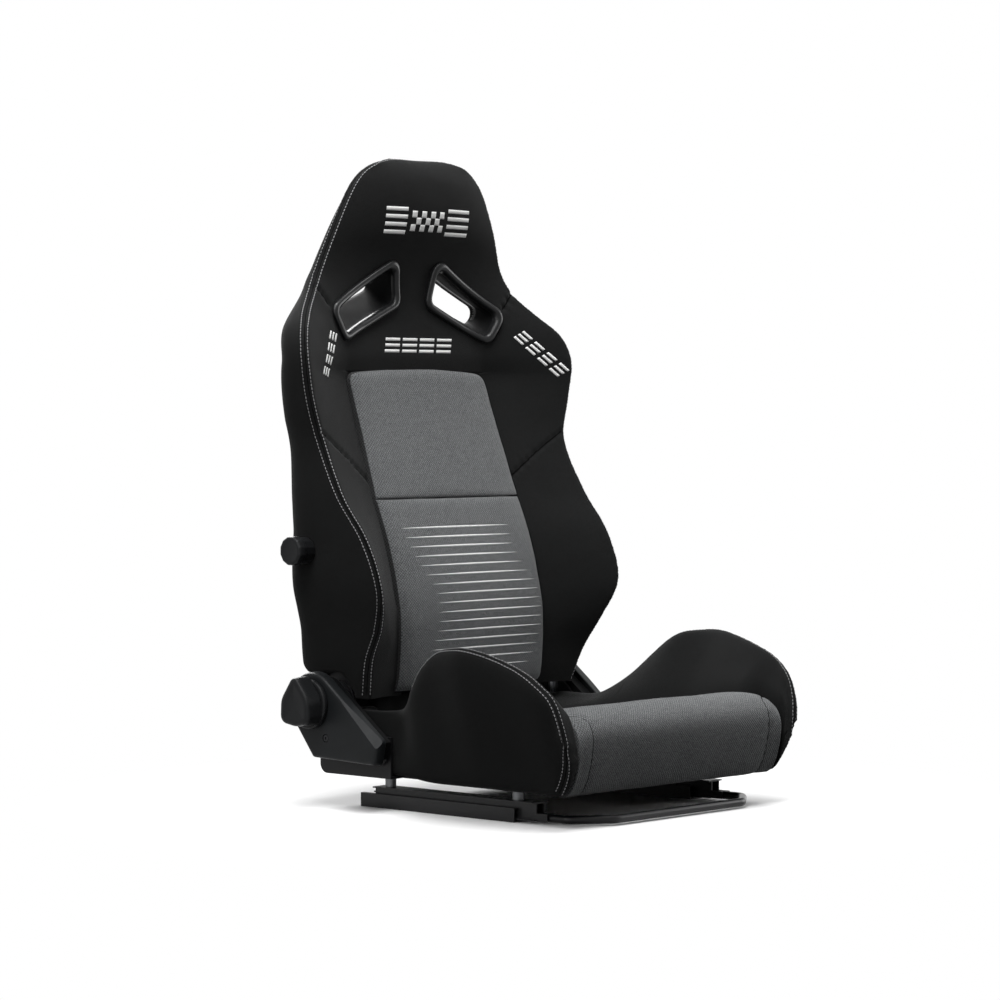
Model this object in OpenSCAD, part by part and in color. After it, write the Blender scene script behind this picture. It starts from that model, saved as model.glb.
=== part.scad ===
// Reclining racing seat on slide rails.
// Frame: +X is the sitter's left, -Y the front, +Z up. The origin is the
// middle of the four mounting bolts, on the underside of the rails.

/* [Rails] */
// Length of each fixed lower rail
rail_len = 300; // [290:1:330]
// Width of each lower rail
rail_w = 34; // [34:1:40]
// Height of each lower rail
rail_h = 20; // [20:1:24]
// Sheet thickness of the rails
rail_t = 2; // [1.5:0.5:2]
// Distance of the rails' centre lines inside the base's sides
rail_inset = 32; // [32:1:40]
// Distance between the mounting bolts along one rail
bolt_pitch = 270; // [250:1:280]
// Diameter of the mounting bolt holes
bolt_hole_d = 9; // [8.5:0.5:10]
// Travel of the seat each way from the middle
slide_travel = 80; // [60:10:80]
// Number of latch notches each way from the middle
notch_count = 6; // [4:1:7]
// Length of each sliding upper rail behind its front end
upper_len = 312; // [300:1:330]

/* [Slide release bar] */
// Diameter of the release bar
bar_d = 12; // [8:0.5:12]
// Distance of the grip in front of the bolt middle
bar_reach = 275; // [268:1:278]
// Height of the bar's centre above the floor
bar_z = 9; // [8.5:0.5:9]

/* [Seat base] */
// Height of the spacers between rails and seat pan
spacer_h = 16; // [14:1:20]
// Diameter of the spacers
spacer_d = 16; // [14:1:20]
// Distance of the seat pan's walls inside the base's sides
pan_inset = 21; // [19:1:23]
// Thickness of the seat pan
pan_t = 4; // [3:0.5:5]
// Inside height of the seat pan
pan_depth = 10; // [9:0.5:12]
// Width over the cushion's front roll
roll_w = 456; // [448:1:460]
// Width of the cushion between the side bolsters
cushion_w = 410; // [400:1:412]
// Height of the cushion's front crest above the floor
crest_z = 164; // [156:1:170]
// Height of the sinking middle of the cushion above the floor
dip_z = 128; // [122:1:134]
// Distance of the cushion's front face in front of the bolt middle
nose_reach = 284; // [278:1:288]
// Height of the side bolsters' crest above the floor
horn_z = 246; // [225:1:255]
// Width over the crests of the side bolsters
horn_w = 566; // [540:1:580]
// Width over the rear of the seat base
base_w = 450; // [446:1:451]
// Height of the rear of the seat base above the floor
base_rear_z = 142; // [134:1:143]

/* [Backrest] */
// Height of the whole seat above the floor
seat_h = 950; // [935:1:970]
// Width across the shoulders
shoulder_w = 572; // [560:1:584]
// Width across the waist
waist_w = 522; // [516:1:530]
// How far the lower side wings stand out past the base, each side
wing_out = 34; // [30:1:37]
// How far the backrest's foot stands out past the base, each side
foot_out = 3; // [1:0.5:4]
// Width across the neck, at the top of the belt slots
neck_w = 392; // [384:1:400]
// Width across the head
head_w = 304; // [290:1:320]
// Distance of the wing tips behind the bolt middle
wing_y = 56; // [50:1:70]
// Width of the middle pads at their foot
pad_w = 314; // [300:1:316]
// Thickness of the middle pads
pad_t = 34; // [32:1:35]
// Thickness of the rear panel
panel_t = 4; // [3:0.5:5]
// Diameter of the back frame's tube
tube_d = 25; // [20:1:25]

/* [Recliner] */
// Distance of the recline axis behind the bolt middle
axis_y = 190; // [188:1:192]
// Height of the recline axis above the floor
axis_z = 150; // [149:1:151]
// Diameter of the shaft that links the two recliners
shaft_d = 12; // [10:1:14]
// Diameter of the recliner discs
disc_d = 64; // [56:1:68]
// Thickness of the hinge plates
plate_t = 4; // [3:0.5:4]
// Thickness of each half of a recliner disc
disc_t = 8; // [7:0.5:8]
// Wall of the side covers
cover_t = 3; // [2:0.5:4]
// Depth of the side covers along the axis
cover_w = 36; // [30:1:40]
// Thickness of the recline lever's grip
lever_t = 27; // [20:1:30]

/* [Lumbar support] */
// Distance of the lumbar knob's axis behind the bolt middle
knob_y = 204; // [203:0.5:206]
// Height of the lumbar knob's axis above the floor
knob_z = 371; // [365:1:377]
// Diameter of the lumbar knob
knob_d = 43; // [38:1:50]
// Length of the lumbar knob
knob_len = 34; // [28:1:40]
// Diameter of the lumbar shaft
knob_shaft_d = 10; // [8:1:10]
// Travel of the lumbar plate
lumbar_travel = 12; // [8:1:12]

/* [Belt slots] */
// Wall of the belt slot bezels
bezel_t = 3; // [2:0.5:4]
// Width of the lip round each belt slot
lip_w = 9; // [6:0.5:10]
// Thickness of that lip
lip_t = 7; // [5:0.5:9]

/* [Fits] */
// Radial clearance of shafts and pins in their bores
run_gap = 0.05; // [0.02:0.01:0.1]
// Gap between neighbouring soft parts
soft_gap = 0.3; // [0.2:0.1:0.5]

/* [Hidden] */
$fn = 48;
eps = 0.01;

// Heights of the rails
upper_z0 = rail_t + 2;
upper_top = rail_h + 10;
neck_half = 9;
upper_half = 15;
shoe_gap = run_gap;

// Along the rails: the seat bolts, the front end of the upper rails
bolt_rear_y = 106;
bolt_front_y = -142;
upper_front_y = bolt_front_y - 42;
pivot_y = -110;
notch_pitch = slide_travel / notch_count;
latch_y = -notch_pitch;
tip_y = -204;
arm_bend_y = -235;
grip_half = 141;

// Heights of the seat base
pan_z = upper_top + spacer_h;
foam_z = pan_z + pan_t;
hang_z = foam_z - 6;
mat_z = foam_z + pan_depth;
mat_t = 4;
seat_z = mat_z + mat_t;
pan_front_y = -232;
pan_rear_y = 200;
cushion_rear_y = 158;
base_rear_y = 208;
pan_w = base_w - 2 * pan_inset;
rail_gauge = base_w - 2 * rail_inset;
ear_x = base_w / 2 + 1;
ear_y0 = 70;
ear_y1 = 213;
ear_z1 = foam_z + 56;
notch_y = axis_y - disc_d / 2 - 10;
notch_x = base_w / 2 - 20;
notch_z = axis_z - disc_d / 2 - 12;

// Across the recliners, from the hinge plates inwards, then outwards
plate_x = ear_x + plate_t;
fixed_x = plate_x - disc_t;
turning_x = fixed_x - disc_t;
back_plate_x = turning_x - plate_t;
leg_x = back_plate_x - tube_d / 2;
cover_x = plate_x + plate_t + 2;
lever_x = cover_x + cover_w;
hub_len = 8;
hinge_boss_r = 46;
arch_r = disc_d / 2 + 8;

// Backrest: heights of its stations
foot_z = axis_z + 7;
back_h = seat_h - foot_z;
wing_z = foot_z + back_h * 160 / 793;
waist_z = foot_z + back_h * 373 / 793;
shoulder_z = foot_z + back_h * 493 / 793;
neck_z = foot_z + back_h * 623 / 793;
head_z = foot_z + back_h * 723 / 793;
foot_w = base_w + 2 * foot_out;
wing_w = base_w + 2 * wing_out;
waist_y = 172;
shoulder_y = 178;
neck_y = 242;
head_y = 232;
pad_top_z = shoulder_z - 20;
yoke_z = pad_top_z + 1;
head_pad_z = neck_z + 20;
pad_seam_z = foot_z + back_h * 286 / 793;
rear_flange = 13;
cavity_half = back_plate_x + 6;
flange_half = 186;
side_out = 4;
pad_proud = 12;

// height, half width at the ridge, y of the ridge
back_line = [
    [foot_z, foot_w / 2 - 8, 121],
    [foot_z + 58, foot_w / 2 + 4, 103],
    [wing_z - 57, wing_w / 2 - 18, wing_y + 20],
    [wing_z, wing_w / 2 - 1, wing_y],
    [wing_z + 70, wing_w / 2 + 3, wing_y + 26],
    [wing_z + 132, waist_w / 2 + 2, wing_y + 74],
    [waist_z, waist_w / 2, waist_y],
    [waist_z + 60, shoulder_w / 2 - 9, shoulder_y - 1],
    [shoulder_z, shoulder_w / 2, shoulder_y],
    [shoulder_z + 40, shoulder_w / 2 - 11, shoulder_y + 13],
    [neck_z - 61, neck_w / 2 + 51, neck_y - 27],
    [neck_z - 34, neck_w / 2 + 23, neck_y - 9],
    [neck_z, neck_w / 2, neck_y],
    [head_z - 28, head_w / 2 + 14, head_y + 3],
    [head_z + 26, head_w / 2 - 15, head_y - 1],
    [seat_h - 22, head_w / 2 - 37, head_y - 2],
    [seat_h - 8, head_w / 2 - 65, head_y - 4],
    [seat_h, head_w / 2 - 100, head_y + 4]
];

// height, y of the front along the middle of the back
centre_line = [
    [foot_z, 126], [foot_z + 30, 119], [wing_z - 60, 115], [wing_z - 15, 120],
    [wing_z + 60, 140], [wing_z + 130, 168], [waist_z, 198], [pad_top_z, 233],
    [shoulder_z + 30, 245], [neck_z - 48, 250], [neck_z - 8, 246], [neck_z + 24, 236],
    [head_z - 42, 217], [head_z - 5, 208], [head_z + 35, 209], [seat_h - 18, 215],
    [seat_h - 5, 227], [seat_h, 238]
];

// height, y of the back's rear along its middle
rear_line = [
    [foot_z, 150], [foot_z + 9, 174], [foot_z + 17, 192], [foot_z + 28, 216], [foot_z + 32, 262],
    [foot_z + 43, 274], [wing_z - 20, 279], [wing_z + 83, 285], [waist_z - 30, 291],
    [waist_z + 70, 300], [neck_z - 70, 307], [neck_z - 20, 308], [neck_z + 20, 304],
    [head_z - 30, 292], [head_z + 6, 274], [seat_h - 20, 262], [seat_h - 5, 252], [seat_h, 246]
];

// height, y where the rounded rear begins, sharpness of the rear corner
corner_line = [
    [foot_z, 140, 7], [foot_z + 32, 150, 8], [wing_z - 60, 150, 6], [wing_z + 83, 176, 3.7],
    [waist_z + 27, 200, 3.5], [shoulder_z, 200, 2.5], [neck_z - 78, 222, 2.5], [neck_z - 14, 254, 2.4],
    [head_z - 32, 242, 2.2], [head_z + 6, 238, 2.2], [seat_h, 236, 2.1]
];

// height, half width of the middle pads
pad_line = [
    [foot_z, pad_w / 2], [pad_seam_z, pad_w / 2 - 2], [waist_z, pad_w / 2 - 7], [pad_top_z, pad_w / 2 - 10]
];

// height, half width of the flat middle, bend of the front beside it
front_line = [
    for (p = pad_line) [p[0], p[1] + soft_gap, 1.2],
    [shoulder_z + 70, 100, 1.5], [neck_z + 20, 0, 2.1], [seat_h, 0, 2.3]
];

// Value k of a table at h, along a smooth curve through its rows
function row_at(t, h, i = 0) = i >= len(t) - 2 || h < t[i + 1][0] ? i : row_at(t, h, i + 1);
function slope(t, i, k) =
    let (a = max(i - 1, 0), b = min(i + 1, len(t) - 1)) (t[b][k] - t[a][k]) / (t[b][0] - t[a][0]);
function smooth(t, h, k) =
    let (
        i = row_at(t, h),
        d = t[i + 1][0] - t[i][0],
        s = min(max((h - t[i][0]) / d, 0), 1)
    )
    t[i][k] * (1 + 2 * s) * (1 - s) * (1 - s) + slope(t, i, k) * d * s * (1 - s) * (1 - s)
    + t[i + 1][k] * s * s * (3 - 2 * s) - slope(t, i + 1, k) * d * s * s * (1 - s);
// Value k of a table at h, along straight lines
function straight(t, h, k) =
    let (i = row_at(t, h), s = min(max((h - t[i][0]) / (t[i + 1][0] - t[i][0]), 0), 1))
    t[i][k] * (1 - s) + t[i + 1][k] * s;

function ridge_x(z) = smooth(back_line, z, 1);
function ridge_y(z) = smooth(back_line, z, 2);
function centre_y(z) = smooth(centre_line, z, 1);
function rear_y(z) = straight(rear_line, z, 1);
function side_x(z) = ridge_x(z) + side_out * min(1, (seat_h - z) / 150);
function pad_back_y(z) = centre_y(z) + pad_t;

// y of the front at distance x from the middle
function front_y(x, z) =
    let (
        x0 = straight(front_line, z, 1),
        bend = straight(front_line, z, 2),
        s = max(0, (abs(x) - x0) / (ridge_x(z) - x0)),
        sunk = z < pad_top_z + 4 ? pad_proud * (1 - s) : 0
    )
    centre_y(z) + sunk + (ridge_y(z) - centre_y(z)) * pow(s, bend);

// Point of the rounded rear: s runs from 0 at the side to 1 at half width x_end
function rear_point(s, x_end, z) =
    let (
        y0 = straight(corner_line, z, 1),
        n = straight(corner_line, z, 2),
        a = side_x(z),
        turn = s * acos(pow(x_end / a, n / 2))
    )
    [a * pow(cos(turn), 2 / n), y0 + (rear_y(z) - y0) * pow(sin(turn), 2 / n)];

// Closed solid through rings of equal length, listed so that each ring runs
// anticlockwise seen from the last ring's side; cap lists a ring's triangles
module skin(rings, cap) {
    n = len(rings[0]);
    last = (len(rings) - 1) * n;
    faces = [
        for (j = [0 : len(rings) - 2], i = [0 : n - 1])
            let (a = j * n + i, b = j * n + (i + 1) % n)
                for (f = [[a, a + n, b], [b, a + n, b + n]]) f
    ];
    polyhedron(
        [for (r = rings) each r],
        concat(faces, cap, [for (f = cap) [f[2] + last, f[1] + last, f[0] + last]]),
        convexity = 8
    );
}

// Triangles between an outer chain 0..n-1 and the chain after it; near[k] is
// the later point that outer point k looks at
function fan(near) = [
    for (k = [0 : len(near) - 2])
        for (f = near[k] == near[k + 1]
            ? [[k, k + 1, near[k]]]
            : [[k, k + 1, near[k]], [k + 1, near[k + 1], near[k]]]) f
];
// The same for two chains of n points that run opposite ways
function zip(n) = [
    for (i = [0 : n - 2], f = [[i, i + 1, 2 * n - 1 - i], [i + 1, 2 * n - 2 - i, 2 * n - 1 - i]]) f
];

// Copy to the other side
module other_side() {
    mirror([1, 0, 0]) children();
}
module both_sides() {
    children();
    other_side() children();
}
// Cylinder along X from x0 to x1
module along_x(x0, x1, d, y, z) {
    translate([x0, y, z]) rotate([0, 90, 0]) cylinder(h = x1 - x0, d = d);
}
// Plate in the YZ plane from x0 outwards
module yz_plate(x0, t) {
    translate([x0, 0, 0]) rotate([90, 0, 90]) linear_extrude(t) children();
}

// ---- rails -----------------------------------------------------------
module lower_rail() {
    lip = neck_half + 1;
    slots = floor((rail_len / 2 - 20) / notch_pitch);
    color("#1b1c1d") translate([rail_gauge / 2, 0, 0]) difference() {
        translate([0, rail_len / 2, 0]) rotate([90, 0, 0]) linear_extrude(rail_len) difference() {
            translate([-rail_w / 2, 0]) square([rail_w, rail_h]);
            translate([rail_t - rail_w / 2, rail_t]) square([rail_w - 2 * rail_t, rail_h - 2 * rail_t]);
            translate([-lip, rail_t]) square([2 * lip, rail_h]);
        }
        for (y = [-1, 1]) translate([0, y * bolt_pitch / 2, -1]) cylinder(h = rail_t + 2, d = bolt_hole_d);
        for (i = [-slots : slots])
            translate([-lip - 3.5, i * notch_pitch - 2.5, rail_h - rail_t - 1]) cube([4, 5, rail_t + 2]);
    }
}
module lower_rail_left() { lower_rail(); }
module lower_rail_right() { other_side() lower_rail(); }

module upper_rail() {
    color("#1b1c1d") translate([rail_gauge / 2, 0, 0]) difference() {
        translate([0, upper_front_y + upper_len, 0]) rotate([90, 0, 0])
            linear_extrude(upper_len) difference() {
            union() {
                translate([-neck_half, upper_z0]) square([2 * neck_half, upper_top - upper_z0]);
                translate([-upper_half, upper_top - rail_t]) square([2 * upper_half, rail_t]);
                translate([-rail_w / 2 + rail_t + 1, upper_z0]) square([rail_w - 2 * rail_t - 2, rail_t]);
            }
            translate([rail_t - neck_half, 0]) square([2 * (neck_half - rail_t), upper_top - rail_t]);
        }
        for (y = [bolt_rear_y, bolt_front_y])
            translate([0, y, upper_top - rail_t - 1]) cylinder(h = rail_t + 2, d = 8.4);
        along_x(-rail_w, rail_w, 6, pivot_y, bar_z);
        translate([-rail_w / 2, latch_y - notch_pitch - 5, upper_z0 - 1])
            cube([rail_w / 2, 2 * notch_pitch + 10, upper_top - upper_z0 - rail_t]);
    }
    // cheeks that guide the bar in front of the rail
    color("#1b1c1d") for (x = [-neck_half, neck_half - rail_t])
        translate([rail_gauge / 2 + x, tip_y, upper_z0])
            cube([rail_t, upper_front_y - tip_y + eps, rail_h - 5 - upper_z0]);
}
module upper_rail_left() { upper_rail(); }
module upper_rail_right() { other_side() upper_rail(); }

module guide_shoes() {
    shoe_l = 30;
    shoe_y = rail_len / 2 - slide_travel - shoe_l / 2 - 1;
    out = rail_w / 2 - rail_t - shoe_gap;
    color("#d8d8d4") both_sides() translate([rail_gauge / 2, 0, 0]) for (side = [-1, 1], y = [-1, 1])
        scale([side, 1, 1]) translate([0, y * shoe_y + shoe_l / 2, 0]) rotate([90, 0, 0])
            linear_extrude(shoe_l) difference() {
                translate([neck_half, rail_t + shoe_gap])
                    square([out - neck_half, rail_h - 2 * rail_t - 2 * shoe_gap]);
                translate([neck_half - 1, upper_z0]) square([rail_w / 2 - rail_t - neck_half, rail_t]);
                translate([neck_half - 1, 0]) square([2, upper_z0]);
            }
}

module bar_pivot_pins() {
    color("silver") both_sides() translate([rail_gauge / 2, 0, 0])
        along_x(-neck_half, neck_half, 6, pivot_y, bar_z);
}

// Points along a bend of the bar at a corner: x, y, heading
function bar_bend(corner, a0, a1) =
    let (
        r = 18,
        back = r * tan((a1 - a0) / 2),
        c = corner - back * [cos(a0), sin(a0)] + r * [-sin(a0), cos(a0)]
    )
    [for (i = [0 : 4]) let (a = a0 + (a1 - a0) * i / 4) [c[0] + r * sin(a), c[1] - r * cos(a), a]];

module release_bar() {
    arm_x = rail_gauge / 2;
    turn = atan2(arm_bend_y + bar_reach, arm_x - grip_half);
    half = concat(
        bar_bend([grip_half, -bar_reach], 0, turn),
        bar_bend([arm_x, arm_bend_y], turn, 90),
        [[arm_x, pivot_y + 8, 90]]
    );
    line = concat([for (i = [len(half) - 1 : -1 : 0]) [-half[i][0], half[i][1], -half[i][2]]], half);
    rings = [for (p = line) [for (k = [0 : 23]) let (across = bar_d / 2 * cos(15 * k))
        [p[0] - across * sin(p[2]), p[1] + across * cos(p[2]), bar_z + bar_d / 2 * sin(15 * k)]]];
    color("#151515") difference() {
        skin(rings, [for (k = [1 : 22]) [0, k, k + 1]]);
        both_sides() along_x(arm_x - bar_d, arm_x + bar_d, 6 + 2 * run_gap, pivot_y, bar_z);
    }
}

module latch_plates() {
    lip = neck_half + 1;
    top = rail_h - rail_t - 2.5;
    arm_y = pivot_y + 8;
    half = notch_pitch + 3;
    color("#8a8d90") both_sides() translate([rail_gauge / 2, 0, 0]) {
        translate([-2.5, arm_y, top - 5]) cube([5, latch_y - arm_y, 3 + eps]);
        translate([-lip - 3, latch_y - half, top - 2]) cube([lip + 5.5, 2 * half, 2]);
        for (i = [-1 : 1])
            translate([-lip - 3, latch_y + i * notch_pitch - 2, top - eps])
                cube([2.5, 4, rail_h - top - 0.5]);
    }
}

// ---- seat base ----------------------------------------------------------
module seat_spacers() {
    color("silver") both_sides() for (y = [bolt_rear_y, bolt_front_y])
        translate([rail_gauge / 2, y, upper_top]) difference() {
            cylinder(h = spacer_h, d = spacer_d);
            translate([0, 0, -1]) cylinder(h = spacer_h + 2, d = 8.4);
        }
}

module seat_bolts() {
    color("#9a9c9e") both_sides() for (y = [bolt_rear_y, bolt_front_y]) translate([rail_gauge / 2, y, 0]) {
        translate([0, 0, upper_top - rail_t - 3]) cylinder(h = 3, d = 13);
        translate([0, 0, upper_top - rail_t - eps]) cylinder(h = foam_z + 8 - upper_top + rail_t, d = 8);
        translate([0, 0, foam_z]) cylinder(h = 6.5, d = 14, $fn = 6);
    }
}

module seat_pan() {
    wall = 3;
    color("#1c1d1e") difference() {
        union() {
            translate([-pan_w / 2, pan_front_y, pan_z]) cube([pan_w, pan_rear_y - pan_front_y, pan_t]);
            both_sides() {
                translate([0, ear_y0, pan_z]) cube([ear_x + plate_t, ear_y1 - 14 - ear_y0, pan_t]);
                yz_plate(ear_x, plate_t) hull() {
                    for (p = [[ear_y0, ear_z1 - 8], [ear_y0, pan_z], [ear_y1 - 8, ear_z1 - 8]])
                        translate(p) square(8);
                    translate([ear_y1 - 14, pan_z + 14]) circle(r = 14);
                }
                translate([pan_w / 2 - wall, pan_front_y, pan_z])
                    cube([wall, pan_rear_y - pan_front_y, pan_t + pan_depth]);
            }
            for (y = [pan_front_y, pan_rear_y - wall])
                translate([-pan_w / 2, y, pan_z]) cube([pan_w, wall, pan_t + pan_depth]);
        }
        both_sides() {
            for (y = [bolt_rear_y, bolt_front_y])
                translate([rail_gauge / 2, y, pan_z - 1]) cylinder(h = pan_t + 2, d = 8.4);
            for (y = [ear_y0 + 25, ear_y1 - 60]) along_x(ear_x - 1, plate_x + 1, 8.2, y, foam_z + 32);
        }
        for (x = [-1, 0, 1]) translate([x * 110 - 35, -190, pan_z - 1]) cube([70, 330, pan_t + 2]);
    }
}

module seat_mat() {
    color("#26282a") difference() {
        translate([-pan_w / 2, pan_front_y, mat_z]) cube([pan_w, cushion_rear_y - pan_front_y, mat_t]);
        for (x = [-2 : 2], y = [-1 : 1])
            translate([x * 60 - 12, y * 100 - 80, mat_z - 1]) cube([24, 60, mat_t + 2]);
    }
}

// Moulded strip that closes the base behind the cushion
module seat_rear_trim() {
    half = rear_half - 1;
    front = pan_rear_y - 28.3;
    top = axis_z - shaft_d / 2 - 26;
    color("#222325") difference() {
        translate([-half, front, mat_z - 4]) cube([2 * half, 25, top - mat_z + 4]);
        translate([3 - half, front - 1, mat_z - 5]) cube([2 * half - 6, 23, top - mat_z + 2]);
    }
}

// Half width of the cushion at y
roll_y = pan_front_y + 1;
rear_half = 165;
cushion_plan = [
    [-nose_reach - 5, roll_w / 2], [roll_y - 6, roll_w / 2], [roll_y + 10, cushion_w / 2],
    [-110, cushion_w / 2 - 2], [0, cushion_w / 2 - 20], [70, rear_half], [base_rear_y, rear_half]
];
// Outline of the cushion from its front foot over the crest to its rear foot
cushion_side = [
    [26 - nose_reach, hang_z + 3], [11 - nose_reach, hang_z + 24], [2 - nose_reach, crest_z - 60],
    [-nose_reach, crest_z - 40], [5 - nose_reach, crest_z - 20], [20 - nose_reach, crest_z - 6],
    [roll_y - 6, crest_z], [roll_y + 10, crest_z - 1], [86 - nose_reach, crest_z - 4],
    [-140, (crest_z + dip_z) / 2 + 2],
    [-70, dip_z + 4], [0, dip_z], [70, dip_z - 3], [cushion_rear_y - 18, dip_z - 5],
    [cushion_rear_y - 4, dip_z - 11], [cushion_rear_y, dip_z - 24]
];
cushion_under = [
    [cushion_rear_y - 2, seat_z], [70, seat_z], [0, seat_z], [-110, seat_z], [roll_y + 10, seat_z],
    [roll_y - 1, seat_z], [roll_y - 1.5, hang_z], [32 - nose_reach, hang_z]
];

module seat_cushion() {
    sunk = 14;
    spans = [-1, -0.975, -0.9, -0.72, -0.4, 0, 0.4, 0.72, 0.9, 0.975, 1];
    rings = [for (v = spans) let (edge = pow(abs(v), 14)) [
        for (i = [0 : len(cushion_side) - 1])
            let (p = cushion_side[i], low = min(1, (p[1] - hang_z) / 40)) [
                -v * (straight(cushion_plan, p[0], 1) - soft_gap - 2 * sin(180 * i / 15)),
                p[0],
                p[1] - sunk * edge * low
            ],
        for (p = cushion_under) [-v * (straight(cushion_plan, p[0], 1) - soft_gap - 2), p[0], p[1]]
    ]];
    color("#55585a") skin(rings, fan([23, 23, 23, 23, 22, 22, 21, 20, 19, 19, 18, 17, 16, 16, 16, 16]));
}

// y, half width at the crest, height of the crest, height of the foot, half width at the foot
horn_line = [
    [-nose_reach, horn_w / 2 - 31, horn_z - 126, horn_z - 148, horn_w / 2 - 34],
    [4 - nose_reach, horn_w / 2 - 24, horn_z - 98, horn_z - 166, horn_w / 2 - 40],
    [14 - nose_reach, horn_w / 2 - 21, horn_z - 68, hang_z + 14, 238],
    [30 - nose_reach, horn_w / 2 - 14, horn_z - 50, hang_z, 238],
    [56 - nose_reach, horn_w / 2 - 10, horn_z - 31, hang_z, 238],
    [89 - nose_reach, horn_w / 2 - 9, horn_z - 18, hang_z, 239],
    [134 - nose_reach, horn_w / 2 - 4, horn_z - 5, hang_z, 240],
    [-115, horn_w / 2, horn_z, hang_z, 240],
    [-90, horn_w / 2 - 5, horn_z - 2, hang_z, 239],
    [-55, horn_w / 2 - 14, horn_z - 8, hang_z, 237],
    [-20, horn_w / 2 - 22, horn_z - 33, hang_z, 234],
    [11, horn_w / 2 - 35, horn_z - 66, hang_z + 2, 231],
    [45, base_w / 2 - 2, base_rear_z + 9, foam_z, 228],
    [75, base_w / 2 - 1, base_rear_z + 1, foam_z, base_w / 2],
    [120, base_w / 2 - 1, base_rear_z, foam_z, base_w / 2],
    [base_rear_y, base_w / 2 - 1, base_rear_z, foam_z, base_w / 2]
];

function horn_ring(y, end = 0) =
    let (
        rear = y > notch_y,
        x_r = rear ? notch_x - 8 : smooth(horn_line, y, 1),
        flare = min(7, max(0, (75 - y) / 4)),
        top = smooth(horn_line, y, 2) - end,
        low = smooth(horn_line, y, 3),
        x_b = smooth(horn_line, y, 4) - end,
        x_i = straight(cushion_plan, y, 1) + soft_gap,
        inner_z = min(top - 12, straight([for (i = [4 : 15]) cushion_side[i]], y, 1) - 4),
        step_x = max(pan_w / 2 + soft_gap, x_i + 1.5),
        base = max(low, hang_z),
        step_z = max(base + 1, min(seat_z, base + (inner_z - base) * 0.4)),
        mid_z = max(inner_z, step_z + 3),
        x_top = max(x_r - 17, x_i + 1),
        shelf = rear ? notch_z : top - (top - base) * 0.12
    )
    [
        [x_i, step_z], [step_x, step_z], [step_x, base], [x_b - 4, base],
        [x_b, base + (shelf - base) * 0.1],
        rear ? [x_b, base + (shelf - base) * 0.5] : [x_b + (x_r - x_b) * 0.55, base + (top - base) * 0.4],
        rear ? [x_b, shelf - 3] : [x_b + (x_r - x_b) * 0.95 + flare * 0.3, base + (top - base) * 0.7],
        rear ? [x_b - 3, shelf] : [x_r + flare, shelf],
        rear ? [x_r + 7, shelf] : [x_r + flare * 0.6, top - 3],
        rear ? [x_r + 6, top - 6] : [x_r, top],
        rear ? [x_r, top] : [x_r - (x_r - x_top) * 0.55, top - 1],
        [x_top - (rear ? 6 : 0), top - (rear ? 0 : 7)],
        [x_i + (x_top - x_i) * 0.5, rear ? top : mid_z + (top - mid_z) * 0.45],
        [x_i, mid_z]
    ];

module seat_bolster() {
    ys = [
        -nose_reach + 0.5, 4 - nose_reach, 9 - nose_reach, 14 - nose_reach, 22 - nose_reach, 30 - nose_reach,
        roll_y - 6, roll_y + 10, 80 - nose_reach, 105 - nose_reach, -155, -132, -110, -88, -66, -44, -22,
        0, 22, 45,
        70, 110, notch_y, notch_y + 0.2, 175, base_rear_y - 8, base_rear_y
    ];
    rings = [
        for (i = [len(ys) - 1 : -1 : 0])
            [for (p = horn_ring(ys[i], ys[i] > base_rear_y - 4 ? 8 : 0)) [p[0], ys[i], p[1]]]
    ];
    cap = concat([for (i = [2 : 7]) [1, i, i + 1]], [[0, 1, 8]], [for (i = [8 : 12]) [0, i, i + 1]]);
    color("#1d1d1e") skin(rings, cap);
}
module seat_bolster_left() { seat_bolster(); }
module seat_bolster_right() { other_side() seat_bolster(); }

// ---- recliners -----------------------------------------------------------
module hinge_outline(grow = 0) {
    hull() {
        translate([axis_y, axis_z]) circle(r = hinge_boss_r + grow);
        translate([axis_y - 5, axis_z - 73]) circle(r = 5 + grow);
        translate([axis_y - 123, axis_z - 75]) circle(r = 7 + grow);
        translate([axis_y - 128, axis_z - 50]) circle(r = 7 + grow);
        translate([axis_y - 76, axis_z - 9]) circle(r = 6 + grow);
    }
}

module hinge_plate() {
    color("#3a3c3e") difference() {
        yz_plate(plate_x, plate_t) hull() {
            translate([axis_y, axis_z]) circle(d = disc_d + 4);
            translate([ear_y0 + 20, foam_z + 30]) circle(r = 16);
            translate([ear_y1 - 45, foam_z + 30]) circle(r = 16);
        }
        along_x(plate_x - 1, plate_x + plate_t + 1, shaft_d + 2 * run_gap, axis_y, axis_z);
        for (y = [ear_y0 + 25, ear_y1 - 60]) along_x(plate_x - 1, plate_x + plate_t + 1, 8.2, y, foam_z + 32);
    }
}
module hinge_plate_left() { hinge_plate(); }
module hinge_plate_right() { other_side() hinge_plate(); }

module hinge_bolts() {
    head_x = plate_x + plate_t;
    color("silver") both_sides() for (y = [ear_y0 + 25, ear_y1 - 60]) {
        along_x(ear_x, head_x + eps, 8, y, foam_z + 32);
        translate([head_x, y, foam_z + 32]) rotate([0, 90, 0]) cylinder(h = 5.5, d = 14.4, $fn = 6);
    }
}

// The turning half's hub runs in the fixed half
hub_d = disc_d * 0.62;
module recliner_fixed() {
    color("#6d7073") difference() {
        along_x(fixed_x, plate_x, disc_d, axis_y, axis_z);
        along_x(fixed_x - 1, fixed_x + disc_t * 0.6, hub_d + 2 * run_gap, axis_y, axis_z);
        along_x(fixed_x - 1, plate_x + 1, shaft_d + 2, axis_y, axis_z);
    }
}
module recliner_fixed_left() { recliner_fixed(); }
module recliner_fixed_right() { other_side() recliner_fixed(); }

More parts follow.
